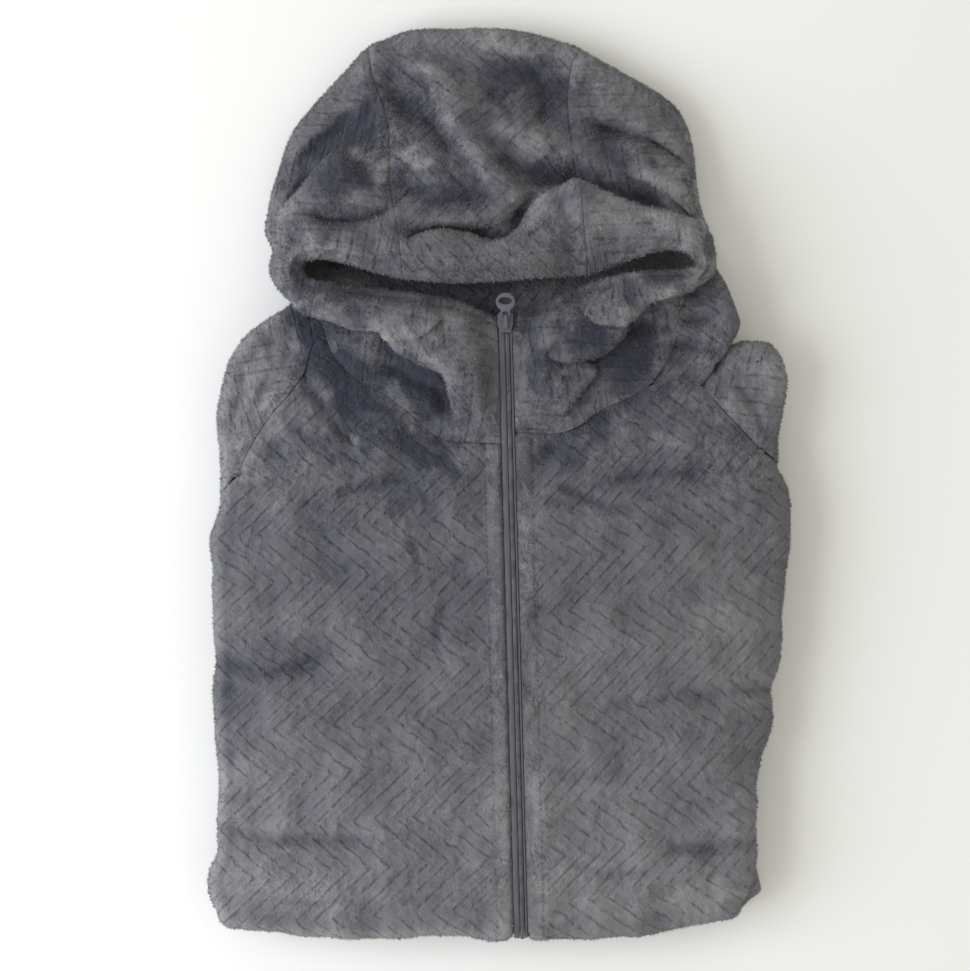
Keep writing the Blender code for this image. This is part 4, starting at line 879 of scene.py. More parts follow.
def sleeve_surface(sign, rows, side_rows):
    """A sleeve head from its armhole seam, out and round the folded edge."""
    fine = smooth_curve(rows, SUB)
    seam, edge = fine[:, :2], fine[:, 2:]
    normals = edge_normals(edge if sign < 0 else edge[::-1])
    normals = normals if sign < 0 else normals[::-1]
    normals[-1] = (sign, 0)
    base = edge - ROLL * normals
    ahead = np.array([sign, 1]) * SEAM_GAP * math.sqrt(0.5)
    seam = seam + ahead
    base[-1] = base[-1] + ahead
    share = np.linspace(0, 1, SLEEVE_COLUMNS)[None, :, None]
    flat = seam[:, None] + (base - seam)[:, None] * share
    x, y = flat[..., 0], flat[..., 1]
    line = smooth_curve([(row.seam_x, row.seam_y) for row in rows], SUB)
    creases = crease_height(SLEEVE_CREASES, x, y)
    waves = wave_sum(SOFT_WAVES, x, y)
    z = body_height(x, y) + creases + waves + seam_dip([line], x, y) * seam_shows(x, y)
    if sign > 0:
        z = z - TUCK_DROP * smoothstep(nearest(smooth_curve(TUCK_LINE), x, y)[0], 0, TUCK_FADE)
    turns = np.linspace(0, TURN, CELLS_ROUND_ROLL + 1)[1:]
    place = np.linspace(0, len(rows) - 1, len(fine))
    follow = smoothstep(place, len(rows) - SLEEVE_FOLLOWS, len(rows) - 1)[:, None, None]
    rolled = base[:, None] + normals[:, None] * (ROLL * np.sin(turns))[None, :, None]
    here = raised(rolled, z[:, -1:] - ROLL * (1 - np.cos(turns))[None, :])
    side_x, side_y, out_x, out_y, side_turn = folded_front(
        sign, side_rows, 1.0, np.array(float(rows[-1].seam_y)), 0.0, turns, np.zeros(len(turns)))
    side_z = body_height(side_x, side_y) - ROLL * (1 - np.cos(side_turn))
    beside = np.stack([side_x + out_x * ROLL * np.sin(side_turn),
                       side_y + out_y * ROLL * np.sin(side_turn), side_z], axis=-1)
    level = np.zeros(len(fine))
    beside_rows = np.stack([level, SIDE_SEAM_DROP + edge[:, 1] - edge[-1, 1], level], axis=-1)
    beside = beside[None] + beside_rows[:, None]
    points = np.concatenate([raised(flat, z), here + (beside - here) * follow], axis=1)
    outward = base[:, None] + normals[:, None] * (ROLL * turns)[None, :, None]
    plan = np.concatenate([flat, outward], axis=1)
    # The pile's tone with painted shade: darker in creases, lighter on ridges
    tone = brushed_and_painted_shade(x, y) + CREASE_PAINTED_SHADE * creases + SLEEVE_WAVE_PAINTED_SHADE * waves
    # painted light where the sleeve turns over
    rolled_tone = tone[:, -1:] + TURNED_EDGE_PAINTED_LIGHT[sign] * smoothstep(turns, *TURN_LIT)[None, :]
    tone = np.concatenate([tone, rolled_tone], axis=1)
    return Surface(points, plan, np.full(plan.shape, FAR_TRIM), tone, np.zeros(tone.shape), SLEEVE_WOOL)


# Bend of each long seam of the hood: at which y, and how far to the side
RIGHT_SEAM_BOW = table(
    Point, (132, 0), (158, 1.4), (192, 1.0), (224, 5.5), (244, 4.2), (259, 0.6), (277, 0))
LEFT_SEAM_BOW = table(
    Point, (132, 0), (158, -2), (189, -3), (203, -6), (221, -7.4), (245, -8), (263, -5.5), (281, 0))
SEAM_ENDS = (((-60, 129), (-84, 281.5)), ((57, 132), (51, 281)))
BOW_HALF = 46.0


def hood_bow(x, y):
    """How far the hood's long seams, and the cloth beside them, bend to one side."""
    total = np.zeros(np.shape(x))
    for rows, (foot, head) in zip((RIGHT_SEAM_BOW, LEFT_SEAM_BOW), SEAM_ENDS):
        curve = smooth_curve(rows)
        bow = np.interp(y, curve[:, 0], curve[:, 1], left=0, right=0)
        seam_x = foot[0] + (y - foot[1]) * (head[0] - foot[0]) / (head[1] - foot[1])
        total = total + bow * (1 - smoothstep(np.abs(x - seam_x), 0, BOW_HALF))
    return total


def hood_sections(rows):
    """The hood's rows filled in: rim, edge, their heights, the edge's roll, and how far each section
    ends on the neck seam."""
    sections = []
    for row in rows:
        edge_z = row.edge_z
        if edge_z is None:
            edge_z = float(body_height(np.array([row.edge_x]), np.array([row.edge_y]))[0])
        sections.append(row._replace(edge_z=edge_z))
    fine = smooth_curve(sections, SUB)
    joined = [float(row.edge_z is None) for row in rows]
    on_neck = np.interp(np.linspace(0, len(rows) - 1, len(fine)), np.arange(len(rows)), joined)
    edge, edge_z = fine[:, 2:4], fine[:, 6]
    edge_z = edge_z + (body_height(edge[:, 0], edge[:, 1]) - edge_z) * (on_neck > ON_NECK)
    return fine[:, 0:2], edge, fine[:, 4], fine[:, 5], edge_z, np.maximum(fine[:, 7], 0), on_neck


def hood_surface(rows, at_start, at_end):
    """A hood piece from inside its turned front edge, over the lip and the hood, round its outer edge."""
    rim, edge, rim_z, mid_z, edge_z, roll, on_neck = hood_sections(rows)
    ahead = edge - rim
    width = np.linalg.norm(ahead, axis=1)
    ahead = ahead / width[:, None]
    start = rim + ahead * LIP_ROLL
    stop = edge - ahead * np.maximum(roll, PILE_GAP)[:, None]
    t = np.linspace(0, 1, int(np.percentile(width, WIDTH_TAKEN) / CELL))[None, :]
    flat = start[:, None] + (stop - start)[:, None] * t[..., None]
    x, y = flat[..., 0], flat[..., 1]
    x = x + hood_bow(x, y)
    base = arch(rim_z[:, None], mid_z[:, None], edge_z[:, None], t)
    folds = fold_height(HOOD_FOLDS, x, y) + fold_height(COLLAR_FOLDS, x, y)
    creases = crease_height(HOOD_CREASES + COLLAR_CREASES, x, y)
    steps, step_shade, lean = step_height(HOOD_STEPS + COLLAR_STEPS, x, y)
    waves = wave_sum(SOFT_WAVES, x, y)
    neck_line = edge[on_neck > ON_NECK]
    has_neck = len(neck_line) > 1
    neck_fade = np.ones(x.shape)
    if has_neck:
        neck_fade = smoothstep(distance_to(neck_line, x, y), NECK_CALM_NEAR, NECK_CALM_FAR)
    collar = on_neck[:, None]
    upper = 1 - collar
    out_fade = 1 - smoothstep(t, EDGE_CALM, 1.0) * upper
    near_zip = 1 - (1 - calm(x, y)) * collar
    free = near_zip * neck_fade * out_fade
    run = t * np.linalg.norm(stop - start, axis=1)[:, None]
    hem = -HEM_TROUGH * upper * bell(run, HEM_TROUGH_AT, HEM_TROUGH_HALF)
    for rim_round, drop, part in ((RIM_ROUND, RIM_DROP, upper), (COLLAR_ROUND, COLLAR_DROP, collar)):
        hem = hem + part * drop * (rounding(run / rim_round) - RIM_KEPT)
    lumps = RIM_LUMPS * ripples(x, RIM_LUMPS_STRETCH * y, *LUMP_WAVE)
    lumps = lumps * bell(run, RIM_LUMPS_AT, RIM_LUMPS_AT)
    z = base + free * (folds + creases + steps) + near_zip * waves + (hem + lumps) * near_zip * neck_fade
    z = z + stitch_dip(run + LIP_ROLL, HEM_STITCH)
    seams = [np.stack([x[index], y[index]], axis=1)
             for wanted, index in ((at_start, 0), (at_end, -1)) if wanted]
    z = z + seam_dip(seams, x, y) * smoothstep(y, *HEM_SEAM_FADE)
    if has_neck:
        z = z + seam_dip([neck_line], x, y, NECK_SEAM_DEPTH) * seam_shows(x, y)
    collar_front = (y < COLLAR_BELOW) & (collar > 0.5)
    z = z - np.where(collar_front, zip_edge_drop(np.abs(x - zip_x(y)) - ZIP_HALF), 0)
    over = np.maximum(z - HIGH, 0)
    z = z - over + HIGH_ROOM * (1 - np.exp(-over / HIGH_ROOM))

    lip_turns = np.linspace(LIP_TURN, 0, CELLS_ROUND_LIP + 1)[:-1]
    lip = start[:, None] - ahead[:, None] * (LIP_ROLL * np.sin(lip_turns))[None, :, None]
    lip[..., 0] += (x[:, :1] - flat[:, :1, 0])
    lip_z = z[:, :1] - LIP_ROLL * (1 - np.cos(lip_turns))[None, :]
    lip_plan = start[:, None] - ahead[:, None] * (LIP_ROLL * lip_turns)[None, :, None]
    edge_turns = np.linspace(0, TURN, CELLS_ROUND_LIP + 1)[1:]
    wrap = stop[:, None] + ahead[:, None] * (roll[:, None] * np.sin(edge_turns)[None, :])[..., None]
    wrap_z = z[:, -1:] - roll[:, None] * (1 - np.cos(edge_turns))[None, :]
    wrap_plan = stop[:, None] + ahead[:, None] * (roll[:, None] * edge_turns[None, :])[..., None]
    lean = lean * (free * smoothstep(run, *LEAN_FROM_RIM))[..., None]
    middle = np.stack([x + lean[..., 0], y + lean[..., 1], z], axis=-1)
    points = np.concatenate([raised(lip, lip_z), middle, raised(wrap, wrap_z)], axis=1)
    plan = np.concatenate([lip_plan, flat, wrap_plan], axis=1)

    rim_shade = RIM_SHADE * (RIM_SHADE_ON_HOOD + (1 - RIM_SHADE_ON_HOOD) * collar)
    rim_shade = rim_shade * np.exp(-run / RIM_SHADE_REACH) * near_zip
    # The pile's tone with painted shade: darker in creases, troughs and under steps, lighter on ridges, rolls
    # and lumps
    tone = brushed_and_painted_shade(x, y) + free * (HOOD_CREASE_PAINTED_SHADE * creases + HOOD_FOLD_PAINTED_SHADE * folds + step_shade)
    tone = tone + WAVE_PAINTED_SHADE * waves + LUMP_PAINTED_SHADE * lumps - rim_shade
    # painted light on the hood's outer edge, on the side towards the window light only
    tone = tone + HOOD_EDGE_PAINTED_LIGHT * smoothstep(t, HOOD_EDGE_FROM, 1.0) * upper * (x < 0)
    tone = np.concatenate([np.repeat(tone[:, :1], len(lip_turns), axis=1), tone,
                           np.repeat(tone[:, -1:], len(edge_turns), axis=1)], axis=1)
    lip_run = LIP_ROLL - LIP_ROLL * np.sin(lip_turns)[None, :] + 0 * run[:, :1]
    edge_run = np.full((len(rim), len(edge_turns)), FAR_TRIM)
    hem_run = np.concatenate([lip_run, run + LIP_ROLL, edge_run], axis=1)
    length = np.concatenate([[0], np.cumsum(np.linalg.norm(np.diff(rim, axis=0), axis=1))])[:, None]
    trim = np.stack([hem_run, length + 0 * hem_run], axis=-1)
    drawn_in(points, at_start, at_end)
    return Surface(points, plan, trim, tone, np.full(tone.shape, HOOD_PLAIN), HOOD_WOOL)


def drawn_in(points, at_start, at_end):
    """Draws the first and last sections in from their seams."""
    for index, beside, wanted in ((0, 1, at_start), (-1, -2, at_end)):
        if wanted:
            step = points[beside] - points[index]
            points[index] += step / np.maximum(np.linalg.norm(step, axis=1)[:, None], 1e-6) * PILE_GAP


def back_height(x, y):
    """Top of the hood's back: on the table, then up over the end of the bundle."""
    body = layers_height(x, np.minimum(y, BACK_BUNDLE_Y)) + BACK_LIFT + WALL
    climb = smoothstep(BACK_TABLE_Y - y, 0, BACK_TABLE_Y - BACK_BUNDLE_Y)
    low = WALL + BACK_TABLE_LIFT
    z = low + (body - low) * climb
    edge = smooth_curve([(row.y, row.x) for row in BACK_LEFT_EDGE])
    near = np.interp(y, edge[:, 0], edge[:, 1]) - x
    show = climb * smoothstep(x, *BACK_SHOWS)
    z = z + BACK_RISE * show * smoothstep(y, *BACK_RISES)
    falls = show * smoothstep(y, *BACK_FALLS)
    z = z - BACK_EDGE_DROP * falls * (1 - rounding(near / BACK_EDGE_REACH))
    return z + show * fold_height(BACK_FOLDS, x, y)


def back_surface():
    """The hood's back, from one shoulder's edge to the other."""
    right = smooth_curve([(row.y, row.x) for row in BACK_RIGHT_EDGE])
    left = smooth_curve([(row.y, row.x) for row in BACK_LEFT_EDGE])
    lower = smooth_curve(BACK_LOWER)
    s = np.linspace(0, 1, BACK_GRID[1])[None, :]
    t = 1 - (1 - np.linspace(0, 1, BACK_GRID[0])[:, None]) ** BACK_CLOSE
    foot_x = BACK_LOWER[0].x + s * (BACK_LOWER[-1].x - BACK_LOWER[0].x)
    foot_y = np.interp(foot_x, lower[:, 0], lower[:, 1])
    y = foot_y + t * (BACK_RIGHT_EDGE[-1].y - foot_y)
    x_right = np.interp(y, right[:, 0], right[:, 1])
    x_left = np.interp(y, left[:, 0], left[:, 1])
    x = x_right + s * (x_left - x_right)
    shown = smoothstep(x, *BACK_SHOWS) * smoothstep(BACK_TABLE_Y - y, 0, BACK_TABLE_Y - BACK_BUNDLE_Y)
    creases = crease_height(BACK_CREASES, x, y)
    z = back_height(x, y) + shown * (creases + BACK_WAVES * wave_sum(SOFT_WAVES, x, y))
    border = np.concatenate([right, left[::-1]])[:, ::-1]
    curl = np.where(x < 0, np.interp(y, *zip(*RIGHT_CURL)), np.interp(y, *zip(*LEFT_CURL)))
    z = z + curl * np.exp(-distance_to(border, x, y) / (CURL_REACH + CURL_SPREAD * curl))
    plan = np.stack([x, y], axis=-1)
    # Painted shade in the middle of the hood's hollow, on a lighter inside
    inside = INSIDE_SHADE * (1 - smoothstep(x, *INSIDE_DARK_TO)) * smoothstep(x, *INSIDE_DARK_FROM)
    inside = INSIDE_TONE - inside
    tone = brushed_and_painted_shade(x, y) + BACK_CREASE_PAINTED_SHADE * creases + inside * (1 - shown)
    trim = np.full(plan.shape, FAR_TRIM)
    return Surface(raised(plan, z), plan, trim, tone, np.zeros(tone.shape), BACK_WOOL)


# ---------------------------------------------------------------- shader expressions
class Shade:
    """A socket of a material, with arithmetic on it."""

    def __init__(self, tree, socket):
        self.tree = tree
        self.socket = socket

    def math(self, operation, first, second=0.0):
        node = self.tree.nodes.new("ShaderNodeMath")
        node.operation = operation
        for place, value in zip(node.inputs, (first, second)):
            connect(self.tree, place, value)
        return Shade(self.tree, node.outputs[0])

    def __add__(self, other):
        return self.math("ADD", self, other)

    def __radd__(self, other):
        return self.math("ADD", other, self)

    def __sub__(self, other):
        return self.math("SUBTRACT", self, other)

    def __rsub__(self, other):
        return self.math("SUBTRACT", other, self)

    def __mul__(self, other):
        return self.math("MULTIPLY", self, other)

    def __rmul__(self, other):
        return self.math("MULTIPLY", other, self)

    def __truediv__(self, other):
        return self.math("DIVIDE", self, other)

    def __rtruediv__(self, other):
        return self.math("DIVIDE", other, self)

    def __abs__(self):
        return self.math("ABSOLUTE", self)

    def sine(self):
        return self.math("SINE", self)

    def fraction(self):
        return self.math("FRACT", self)

    def clamped(self):
        return self.math("MINIMUM", self.math("MAXIMUM", self, 0.0), 1.0)

    def swing(self, size):
        """A noise about its middle, times a size."""
        return (self - 0.5) * size

    def smooth(self, low, high):
        """Nought below low, one above high."""
        t = ((self - low) / (high - low)).clamped()
        return t * t * (3.0 - 2.0 * t)


def connect(tree, place, value):
    if isinstance(value, Shade):
        tree.links.new(value.socket, place)
    else:
        place.default_value = value


class Finish:
    """A material in the making: its own nodes, and the shader that they feed."""

    def __init__(self, name, **constants):
        self.material = bpy.data.materials.new(name)
        self.material.use_nodes = True
        self.tree = self.material.node_tree
        self.shader = self.tree.nodes["Principled BSDF"]
        for socket, value in constants.items():
            self.shader.inputs[socket.replace("_", " ")].default_value = value

    def node(self, kind, settings=None, inputs=None, output=0):
        made = self.tree.nodes.new(kind)
        for name, value in (settings or {}).items():
            if name == "stops":
                ramp = made.color_ramp
                for k, (place, color) in enumerate(value):
                    stop = ramp.elements[k] if k < 2 else ramp.elements.new(place)
                    stop.position = place
                    stop.color = (*color, 1)
            else:
                setattr(made, name, value)
        for place, value in (inputs or {}).items():
            connect(self.tree, made.inputs[place], value)
        return Shade(self.tree, made.outputs[output])

    def parts(self, vector):
        """The X, Y and Z of a vector."""
        split = self.tree.nodes.new("ShaderNodeSeparateXYZ")
        connect(self.tree, split.inputs[0], vector)
        return [Shade(self.tree, out) for out in split.outputs]

    def joined(self, x, y, z=0.0):
        return self.node("ShaderNodeCombineXYZ", None, {0: x, 1: y, 2: z})

    def noise(self, place, scale, detail=2.0, roughness=0.5, distortion=0.0):
        return self.node("ShaderNodeTexNoise", None, {"Vector": place, "Scale": scale, "Detail": detail,
                                                      "Roughness": roughness, "Distortion": distortion})

    def blended(self, mask, low, high):
        """Mix of two colours."""
        made = self.tree.nodes.new("ShaderNodeMix")
        made.data_type = "RGBA"
        connect(self.tree, made.inputs[0], mask)
        for place, value in ((6, low), (7, high)):
            connect(self.tree, made.inputs[place], value if isinstance(value, Shade) else (*value, 1))
        return Shade(self.tree, made.outputs[2])

    def relief(self, height, strength=1.0, distance=0.001):
        """Height, in units of distance, as the shader's normal."""
        inputs = {"Strength": strength, "Distance": distance, "Height": height}
        bump = self.node("ShaderNodeBump", None, inputs)
        connect(self.tree, self.shader.inputs["Normal"], bump)

    def feed(self, socket, value):
        connect(self.tree, self.shader.inputs[socket], value)


TO_MM = 1000.0             # the maps hold metres
PLUSH_DEEP = (0.036, 0.038, 0.057)
PLUSH_DARK = (0.075, 0.077, 0.100)
PLUSH_MIDDLE = (0.127, 0.128, 0.149)
PLUSH_LIGHT = (0.184, 0.186, 0.206)
PLUSH_TIPS = (0.270, 0.272, 0.288)
PLUSH_WARM = (0.146, 0.134, 0.140)
PLUSH_STOPS = (
    (0.0, PLUSH_DEEP), (1.0, PLUSH_TIPS), (0.30, PLUSH_DARK), (0.53, PLUSH_MIDDLE), (0.76, PLUSH_LIGHT))
GROOVE_PERIOD = 62.0       # of the embossed zigzag, down the garment
GROOVE_THROW = 35.0        # of each of its legs, across
GROOVE_SPACING = 12.4      # from one zigzag line to the next, across
GROOVE_LEAN = 0.66         # of a line's distance across, the distance square to it
GROOVE_BEND = 5.0
GROOVE_DRIFT = (7.0, 3.0, 1.6)       # sideways, by the long, the middle and the short noise
GROOVE_HALF = (0.15, 1.0)  # from a line's middle, over which its groove comes up
GROOVE_LIP = (0.6, 1.7, 1.8, 3.6)    # over which the lip beside it rises and falls
GROOVE_BROKEN = (0.37, 0.58)
GROOVE_HIDDEN = 0.03       # by ruffled pile
GROOVE_BEADED = (0.40, 0.75)
BEADS = (0.38, 0.56)
STITCH_LENGTH = 3.4
STITCH_WIDTH = (0.25, 0.7)
STITCH_DASH = (-0.55, 0.1)

# Noises of the pile: scale for each metre, detail, roughness and distortion
PILE_NOISES = {
    "wander": (22.0, 2.0), "waver": (90.0, 2.0), "patch": (17.0, 3.0, 0.55, 0.7),
    "sweep": (34.0, 3.0, 0.5, 2.0), "tuft": (240.0, 3.0, 0.62, 0.6), "curl": (420.0, 3.0, 0.6, 1.4),
    "broken": (150.0, 2.0, 0.65, 0.5), "beads": (380.0, 2.0, 0.5, 0.4), "woolly": (27.0, 2.0, 0.5, 0.8),
    "warmth": (9.0, 2.0)}
LOCK_STRETCH, LOCK_NOISE = (0.26, 0.17), (1.0, 3.0, 0.6, 0.9)
FIBRE_STRETCH, FIBRE_NOISE = (1.5, 0.7), (1.0, 2.0, 0.6, 0.8)
SWEEP_EDGE = (0.34, 0.66)
WOOLLY_EDGE = (0.44, 0.62)
WARMTH_EDGE = (0.5, 0.72)
WARMTH_MOST = 0.4
WARM_SHADES = (0.3, 0.6)

# What each part adds to the shade, which runs from nought, deepest, to one, the pile's tips
SHADE_MIDDLE = 0.53
# weight of the marks' tone: the pile's tone with painted light and shade in it
SHADE_TONE_AND_PAINTED_LIGHT = 0.42
SHADE_RUFFLED = (0.36, 0.64)         # of the ruffled pile, the second where it is woolly
SHADE_PATCH, SHADE_SWEEP, SHADE_LOCK = 0.26, 0.17, 0.42
SHADE_TUFT, SHADE_CURL = (0.40, 0.70), (0.20, 0.60)
SHADE_FIBRE = 0.26
SHADE_LIP = 0.03
SHADE_PRESSED = (0.155, 0.05)
SHADE_STITCH = 0.14

# The same for the relief
RELIEF_TUFT, RELIEF_CURL, RELIEF_CURLED = 2.2, 1.2, (0.55, 0.75)
RELIEF_LOCK, RELIEF_SWEEP, RELIEF_WOOLLY = 1.6, 1.5, (0.55, 0.45)
RELIEF_FIBRE = 0.6
RELIEF_LIP = 0.2
RELIEF_PRESSED = 0.8
RELIEF_STITCH = 0.3
RIB_SPACING = 0.75         # of the zip tape's weave
PICK_SPACING = 0.62
TAPE_STOPS = ((0.1, (0.066, 0.065, 0.083)), (0.9, (0.160, 0.158, 0.187)), (0.5, (0.112, 0.110, 0.133)))
COIL_DARK, COIL_LIGHT = (0.088, 0.087, 0.102), (0.140, 0.138, 0.158)
PAINT_DARK, PAINT_LIGHT = (0.088, 0.090, 0.116), (0.112, 0.114, 0.142)
PAINT_RUBBED = (0.20, 0.20, 0.24)
TABLE_DARK, TABLE_LIGHT = (0.86, 0.86, 0.875), (0.89, 0.89, 0.90)


def plush_finish():
    """Short-pile plush with zigzag grooves pressed into it, brushed in patches, with painted light and shade
    from its marks.
    """
    plush = Finish("plush_pile", Roughness=0.92, Sheen_Weight=0.22, Sheen_Roughness=0.45,
                   Sheen_Tint=(0.80, 0.82, 0.88, 1), Specular_IOR_Level=0.12)
    cloth = plush.node("ShaderNodeUVMap", {"uv_map": "cloth"})
    trim = plush.node("ShaderNodeUVMap", {"uv_map": "trim"})
    place = plush.node("ShaderNodeTexCoord", None, None, "Object")
    marks = plush.node("ShaderNodeAttribute", {"attribute_name": "marks"}, None, "Vector")
    # marks: the pile's tone with painted light and shade, how plain and how ruffled it is
    tone, plain, wool = plush.parts(marks)
    across, down, _ = plush.parts(cloth)
    across, down = across * TO_MM, down * TO_MM
    noises = {name: plush.noise(place, *settings) for name, settings in PILE_NOISES.items()}
    wander, waver, patch, tuft, curl = (noises[name] for name in ("wander", "waver", "patch", "tuft", "curl"))
    sweep = noises["sweep"].smooth(*SWEEP_EDGE)
    woolly = noises["woolly"].smooth(*WOOLLY_EDGE)
    lock, fibre = (plush.noise(plush.joined(across * stretch[0], down * stretch[1], plain), *settings)
                   for stretch, settings in ((LOCK_STRETCH, LOCK_NOISE), (FIBRE_STRETCH, FIBRE_NOISE)))
    # zigzag grooves
    row = (down + waver.swing(GROOVE_BEND)) / GROOVE_PERIOD
    saw = abs(row.fraction() - 0.5) * 2.0
    drift = [noise.swing(size) for noise, size in zip((wander, waver, curl), GROOVE_DRIFT)]
    lines = (across + drift[0] + drift[1] + drift[2] + (saw - 1.0) * -GROOVE_THROW) / GROOVE_SPACING
    off_line = abs(lines.fraction() - 0.5) * (GROOVE_SPACING * GROOVE_LEAN)
    broken = (noises["broken"] + (0.5 - wool) * GROOVE_HIDDEN).smooth(*GROOVE_BROKEN)
    broken = broken * (GROOVE_BEADED[0] + noises["beads"].smooth(*BEADS) * GROOVE_BEADED[1])
    pressed = (1.0 - off_line.smooth(*GROOVE_HALF)) * broken * (1.0 - plain)
    lip = off_line.smooth(*GROOVE_LIP[:2]) * (1.0 - off_line.smooth(*GROOVE_LIP[2:])) * (1.0 - plain)
    # stitching along the zip
    from_edge, run, _ = plush.parts(trim)
    from_edge, run = from_edge * TO_MM, run * TO_MM
    dash = (run * (math.tau / STITCH_LENGTH)).sine().smooth(*STITCH_DASH)
    stitched = (1.0 - abs(from_edge - ZIP_STITCH).smooth(*STITCH_WIDTH)) * dash
    # colour, with the grooves' pressed pile darker, partly painted shade in them, and painted light on their
    # lips
    fine = ((tuft - 0.5) * (SHADE_TUFT[0] + woolly * SHADE_TUFT[1])
            + (curl - 0.5) * (SHADE_CURL[0] + woolly * SHADE_CURL[1]))
    ruffled = patch.swing(SHADE_PATCH) + sweep.swing(SHADE_SWEEP) + lock.swing(SHADE_LOCK) + fine
    shade = (SHADE_MIDDLE + tone * SHADE_TONE_AND_PAINTED_LIGHT + ruffled * (SHADE_RUFFLED[0] + wool * SHADE_RUFFLED[1])
             + fibre.swing(SHADE_FIBRE) + lip * SHADE_LIP
             - pressed * (SHADE_PRESSED[0] + wool * SHADE_PRESSED[1]) - stitched * SHADE_STITCH)
    pile = plush.node("ShaderNodeValToRGB", {"stops": PLUSH_STOPS}, {"Fac": shade})
    warmth = noises["warmth"].smooth(*WARMTH_EDGE) * WARMTH_MOST
    plush.feed("Base Color", plush.blended(warmth * shade.smooth(*WARM_SHADES), pile, PLUSH_WARM))
    plush.feed("Roughness", 0.86 + tuft.swing(0.2))
    # relief
    curls = (tuft * RELIEF_TUFT + curl * RELIEF_CURL) * (RELIEF_CURLED[0] + woolly * RELIEF_CURLED[1])
    locks = lock * RELIEF_LOCK + sweep * RELIEF_SWEEP + curls
    plush.relief(locks * (RELIEF_WOOLLY[0] + wool * RELIEF_WOOLLY[1]) + fibre * RELIEF_FIBRE
                 + lip * RELIEF_LIP - pressed * RELIEF_PRESSED - stitched * RELIEF_STITCH)
    return plush.material


def tuft_finish(tone):
    """Tips of the pile in one tone."""
    color = (tone, tone * 0.99, tone * 1.09, 1)
    tuft = Finish("pile_tone_%03d" % round(tone * 1000), Roughness=0.95, Sheen_Weight=0.2,
                  Sheen_Roughness=0.5, Specular_IOR_Level=0.1, Base_Color=color)
    return tuft.material


def tape_finish():
    """Woven zip tape: fine upright ribs crossed by the weave."""
    tape = Finish("zip_tape_weave", Roughness=0.75, Sheen_Weight=0.15, Sheen_Roughness=0.4,
                  Specular_IOR_Level=0.3)
    trim = tape.node("ShaderNodeUVMap", {"uv_map": "trim"})
    x, y, _ = tape.parts(trim)
    x, y = x * TO_MM, y * TO_MM
    rib = (x * (math.tau / RIB_SPACING)).sine()
    pick = (y * (math.tau / PICK_SPACING) + x * 2.0).sine()
    wear = tape.noise(tape.joined(x * 0.5, y * 0.05), 1.0, 3.0, 0.6)
    fleck = tape.noise(tape.joined(x * 3.0, y * 2.0), 1.0, 2.0)
    shade = 0.5 + rib * 0.10 + pick * 0.06 + wear.swing(0.5) + fleck.swing(0.25)
    tape.feed("Base Color", tape.node("ShaderNodeValToRGB", {"stops": TAPE_STOPS}, {"Fac": shade}))
    tape.relief(rib * 0.10 + pick * 0.06, 0.7)
    return tape.material


def coil_finish():
    """Nylon coil, a little glossy, with an uneven tone."""
    coil = Finish("zip_coil_nylon", Roughness=0.42, Specular_IOR_Level=0.5)
    place = coil.node("ShaderNodeTexCoord", None, None, "Object")
    wear = coil.noise(place, 160.0, 2.0)
    coil.feed("Base Color", coil.blended(wear.smooth(0.35, 0.65), COIL_DARK, COIL_LIGHT))
    coil.feed("Roughness", 0.38 + wear * 0.2)
    coil.relief(coil.noise(place, 1400.0, 2.0) * 0.12, 0.6)
    return coil.material


def metal_finish():
    """Painted die-cast metal with rubbed edges."""
    metal = Finish("slider_paint", Roughness=0.5, Metallic=0.0, Specular_IOR_Level=0.25)
    place = metal.node("ShaderNodeTexCoord", None, None, "Object")
    edge = metal.node("ShaderNodeNewGeometry", None, None, "Pointiness")
    rubbed = edge.smooth(0.58, 0.72) * metal.noise(place, 420.0, 3.0).smooth(0.35, 0.6)
    cloud = metal.noise(place, 260.0, 3.0)
    paint = metal.blended(cloud, PAINT_DARK, PAINT_LIGHT)
    metal.feed("Base Color", metal.blended(rubbed, paint, PAINT_RUBBED))
    metal.feed("Roughness", 0.46 + cloud * 0.18)
    metal.relief(metal.noise(place, 1800.0, 3.0) * 0.10 + cloud * 0.15, 0.5)
    return metal.material


def floor_finish():
    """Pale matt table top."""
    floor = Finish("pale_table", Roughness=0.85, Specular_IOR_Level=0.2)
    place = floor.node("ShaderNodeTexCoord", None, None, "Object")
    cloud = floor.noise(place, 2.2, 2.0)
    floor.feed("Base Color", floor.blended(cloud, TABLE_DARK, TABLE_LIGHT))
    floor.relief(floor.noise(place, 700.0, 2.0) * 0.05, 0.2)
    return floor.material


# ---------------------------------------------------------------- meshes
def add_object(name, mesh, finish):
    mesh.materials.append(finish)
    obj = bpy.data.objects.new(name, mesh)
    bpy.context.scene.collection.objects.link(obj)
    return obj


def mesh_of(name, points, faces, smooth=True):
    """Mesh from points in millimetres."""
    mesh = bpy.data.meshes.new(name)
    mesh.from_pydata((np.asarray(points, float) * MM).tolist(), [], faces)
    if smooth:
        mesh.shade_smooth()
    mesh.update()
    return mesh


def grid_faces(rows, columns, around=False):
    """Quads of a grid, joined up round its columns if it closes."""
    index = np.arange(rows * columns).reshape(rows, columns)
    if around:
        index = np.concatenate([index, index[:, :1]], axis=1)
    quads = np.stack([index[:-1, :-1], index[:-1, 1:], index[1:, 1:], index[1:, :-1]], axis=-1)
    return quads.reshape(-1, 4).tolist()


def tube_faces(rows, columns):
    """Quads round a closed tube, then its two ends."""
    faces = grid_faces(rows, columns, around=True)
    last = (rows - 1) * columns
    faces.append(list(range(columns))[::-1])
    faces.append(list(range(last, last + columns)))
    return faces


